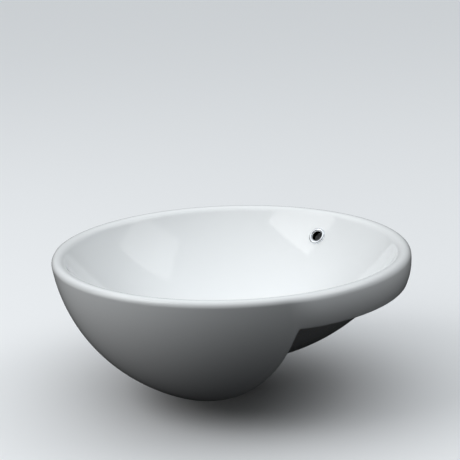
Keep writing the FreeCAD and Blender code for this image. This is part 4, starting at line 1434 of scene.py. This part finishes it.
    def rings(self) -> Iterator[tuple[str, str, str, str, list[Corner]]]:
        """The plain turned rings.

        Yields:
            Name, material slot, body, replaced node and corners of each.
        """
        seal_top = self.plug_under + self.seal_groove
        yield "plug_seal_ring", "black_rubber", "plug", "plug_seal", [
            (self.seal_inside, self.seal_under, 0.3), (self.seal_outside, self.seal_under, 0.8),
            (self.seal_outside, seal_top, 0), (self.seal_inside, seal_top, 0)]
        yield "flange_rubber_ring", "black_rubber", "basin_set", "flange_gasket", flat_ring(
            self.clamp_bore, self.flange_radius, self.gasket_under, self.flange_under, 0.2, 0.4)
        yield "tapered_rubber_washer", "black_rubber", "basin_set", "tapered_washer", [
            (self.clamp_bore, self.slip_top, 0.3), (self.clamp_radius, self.slip_top, 0.9),
            (self.clamp_radius - 1, self.washer_top, 0.9),
            (self.clamp_bore + 1.9, self.washer_top, 0.4),
            (self.clamp_bore + 1.4, self.spigot_top, 0.7), (self.clamp_bore, self.spigot_top, 0.2)]
        yield "slip_ring", "white_nylon", "basin_set", "slip_washer", flat_ring(
            self.clamp_bore, self.clamp_radius, self.nut_top, self.slip_top, 0.2, 0.5)
        groove, groove_depth, outside = -100.3, 0.2, self.cover_radius
        yield "cartridge_cap", "plain_brass", "basin_set", "barrel_cover", [
            (self.rod_hole, self.cover_inside, 0.2), (self.barrel_radius, self.cover_inside, 0),
            (self.barrel_radius, self.cover_under, 0.2), (outside, self.cover_under, 0.4),
            (outside, groove - 0.3, 0.1), (outside - groove_depth, groove, 0.1),
            (outside, groove + 0.3, 0.1), (outside, self.cover_top, 0.8),
            (self.rod_hole, self.cover_top, 0.4)]

    def build(self, wardrobe: Wardrobe) -> None:
        """Make and dress every piece of the fitting that isn't sealed inside the barrel.

        Args:
            wardrobe: dresses them.
        """
        wardrobe.dress(self.waste(), "chrome_plate", "basin_set", "waste_body")
        wardrobe.dress(self.plug(), "chrome_plate", "plug", "plug_cap")
        for name, slot, body, node, corners in self.rings():
            wardrobe.dress(self.turned(name, corners), slot, body, node)
        backnut = HexNut(flats=55 * MM, height=7 * MM, under=-137.5 * MM,
                         bore=self.clamp_bore * MM, pitch=self.thread_pitch * MM)
        jam_nut = HexNut(flats=10 * MM, height=2.4 * MM, under=-84.4 * MM,
                         bore=self.stem_hole * MM, pitch=1 * MM)
        foot_nut = HexNut(flats=14 * MM, height=4 * MM, under=-146.9 * MM,
                          bore=self.stud_hole * MM, pitch=1 * MM)
        for name, node, body, nut in (("hex_backnut", "backnut", "basin_set", backnut),
                                      ("hex_jam_nut", "cap_jam_nut", "plug", jam_nut),
                                      ("hex_foot_nut", "barrel_locknut", "basin_set", foot_nut)):
            wardrobe.dress(nut.build(name), "plain_brass", body, node)


# ---------------------------------------------------------------- stage
def stood(name: str, data: bpy.types.ID, place: Array, axes: Sequence[Array]) -> bpy.types.Object:
    """A linked lamp or camera at a place, with its right, upward and backward axes.

    Args:
        name: of the object.
        data: the lamp or camera.
        place: where it stands.
        axes: the three unit axes.

    Returns:
        The object.
    """
    thing = linked(name, data)
    turn = Matrix(np.column_stack(axes).tolist())
    thing.matrix_world = Matrix.LocRotScale(tuple(place), turn, None)
    return thing


@dataclass(frozen=True)
class SoftBox:
    """A rectangular area lamp that faces the origin; its power is in watts."""

    name: str
    place: tuple[float, float, float]
    size: tuple[float, float]
    power: float

    def build(self) -> None:
        """Hang the lamp."""
        data = bpy.data.lights.new(self.name, "AREA")
        data.shape = "RECTANGLE"
        data.size, data.size_y = self.size
        data.energy = self.power
        away = np.array(self.place) / np.linalg.norm(self.place)
        right = np.cross((0, 0, 1), away)
        right /= np.linalg.norm(right)
        stood(self.name, data, self.place, (right, np.cross(away, right), away))


@dataclass
class Studio:
    """The camera at the photograph's place, the floor, the dome and the soft lights.

    The dome's low and high are heights on the unit sphere between which it brightens.  Of
    each pair of colours the camera sees the first, and the second lights the object.
    """

    rim_top: float
    floor_up: float
    focal_pixels: float = 1320.0
    frame_pixels: float = 460.0
    sensor: float = 36.0
    elevation: float = 15.66
    azimuth: float = 38.9
    roll: float = 1.86
    distance: float = 1.7064
    rim_centre_pixel: tuple[float, float] = (230.24, 247.05)
    floor_half: float = 20.0
    floor_colours: tuple[str, str] = ("#EEEFF0", "#272728")
    dome_colours: tuple[str, str] = ("#E3E4E5", "#F1F5F8")
    dome_low: float = 0.42
    dome_high: float = 0.92
    dome_dim: float = 0.08
    dome_glow: float = 1.38
    lamps: tuple[SoftBox, ...] = (
        SoftBox("key", (-1.15, -1.85, 1.8), (2.0, 1.8), 24),
        SoftBox("fill", (-1.6, -2.1, 0.5), (1.4, 1.0), 6),
        SoftBox("back", (1.5, 1.3, 2.3), (1.8, 1.4), 9),
    )

    def camera(self) -> None:
        """Set the camera: it looks at the rim's centre, turned so that it falls on its pixel.

        The axes for a view straight at the rim's centre are rolled, then turned by the
        smallest turn that takes the view's middle to the pixel's direction.
        """
        azimuth, elevation, roll = np.radians([self.azimuth, self.elevation, self.roll])
        back = np.array([np.sin(azimuth) * np.cos(elevation),
                         -np.cos(azimuth) * np.cos(elevation), np.sin(elevation)])
        right = np.cross(-back, (0, 0, 1))
        right /= np.linalg.norm(right)
        up = np.cross(right, -back)
        rolled_right = np.cos(roll) * right - np.sin(roll) * up
        rolled_up = np.sin(roll) * right + np.cos(roll) * up
        off_middle = np.array(self.rim_centre_pixel) - self.frame_pixels / 2
        aim = np.append(off_middle / self.focal_pixels, 1.0)
        aim /= np.linalg.norm(aim)
        hinge = np.cross((0, 0, 1), aim)
        spin = np.array(Matrix.Rotation(math.acos(aim[2]), 3, tuple(hinge)))
        axes = spin @ np.array([rolled_right, -rolled_up, -back])
        data = bpy.data.cameras.new("camera")
        data.sensor_width = self.sensor
        data.lens = self.focal_pixels / self.frame_pixels * self.sensor
        place = back * self.distance + (0, 0, self.rim_top)
        camera = stood("camera", data, place, (axes[0], -axes[1], -axes[2]))
        bpy.context.scene.camera = camera

    @staticmethod
    def seen_and_felt(tree: bpy.types.NodeTree, seen: bpy.types.Node, felt: bpy.types.Node,
                      output: str) -> None:
        """Show the camera one shader and light the object with the other.

        Args:
            tree: where they are.
            seen: for the camera.
            felt: for every other ray.
            output: kind of the output node.
        """
        path = add(tree, "LightPath")
        mixed = add(tree, "MixShader", {0: path.outputs["Is Camera Ray"], 1: felt.outputs[0],
                                        2: seen.outputs[0]})
        add(tree, output, {"Surface": mixed.outputs[0]})

    def floor(self) -> None:
        """A wide pale floor that keeps the object's shadow and throws little light back."""
        half = self.floor_half
        points = [(x, y, self.floor_up) for x, y in
                  ((-half, -half), (half, -half), (half, half), (-half, half))]
        mesh = bpy.data.meshes.new("floor")
        mesh.from_pydata(points, [], [(0, 1, 2, 3)])
        material = bpy.data.materials.new("pale_floor")
        tree = fresh_tree(material)
        seen, felt = (add(tree, "BsdfDiffuse", {"Color": linear(colour)})
                      for colour in self.floor_colours)
        self.seen_and_felt(tree, seen, felt, "OutputMaterial")
        mesh.materials.append(material)
        linked("floor", mesh)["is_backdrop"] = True

    def world(self) -> None:
        """A dome that glows overhead and fades to a dim horizon; the camera sees it pale."""
        world = bpy.data.worlds.new("studio")
        tree = fresh_tree(world)
        split = add(tree, "SeparateXYZ", {0: add(tree, "TexCoord").outputs["Generated"]})
        glow = add(tree, "MapRange", {
            "Value": split.outputs["Z"], "From Min": self.dome_low, "From Max": self.dome_high,
            "To Min": self.dome_dim, "To Max": self.dome_glow}, interpolation_type="SMOOTHSTEP")
        seen, felt = (add(tree, "Background", {"Color": linear(colour), "Strength": strength})
                      for colour, strength in zip(self.dome_colours, (1.0, glow.outputs[0])))
        self.seen_and_felt(tree, seen, felt, "OutputWorld")
        bpy.context.scene.world = world

    def build(self) -> None:
        """Set the whole stage and the plain view transform."""
        self.camera()
        self.floor()
        self.world()
        for lamp in self.lamps:
            lamp.build()
        bpy.context.scene.view_settings.view_transform = "Standard"


def corners(bounds: tuple[Any, Any]) -> list[list[float]]:
    """A box as plain lists."""
    return [[float(value) for value in corner] for corner in bounds]


def main() -> None:
    """Build every sub-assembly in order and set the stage."""
    logging.basicConfig(level=logging.INFO, format="%(name)s: %(message)s")
    cad_box = corners(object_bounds())
    wardrobe = Wardrobe()
    basin = CeramicBasin()
    basin.build(wardrobe)
    OverflowTrim().build(wardrobe, basin.overflow_stand())
    WasteFitting().build(wardrobe)
    ReturnSpring().build(wardrobe)
    for part in frame["record"]["subparts"]:
        if not frame["nodes"][part["node"]].hide_render:
            wardrobe.dress_node(part["node"], part["material_slot"])
    Studio(rim_top=basin.rim_top, floor_up=cad_box[0][2] - 1 * MM).build()


if __name__ == "__main__":
    main()
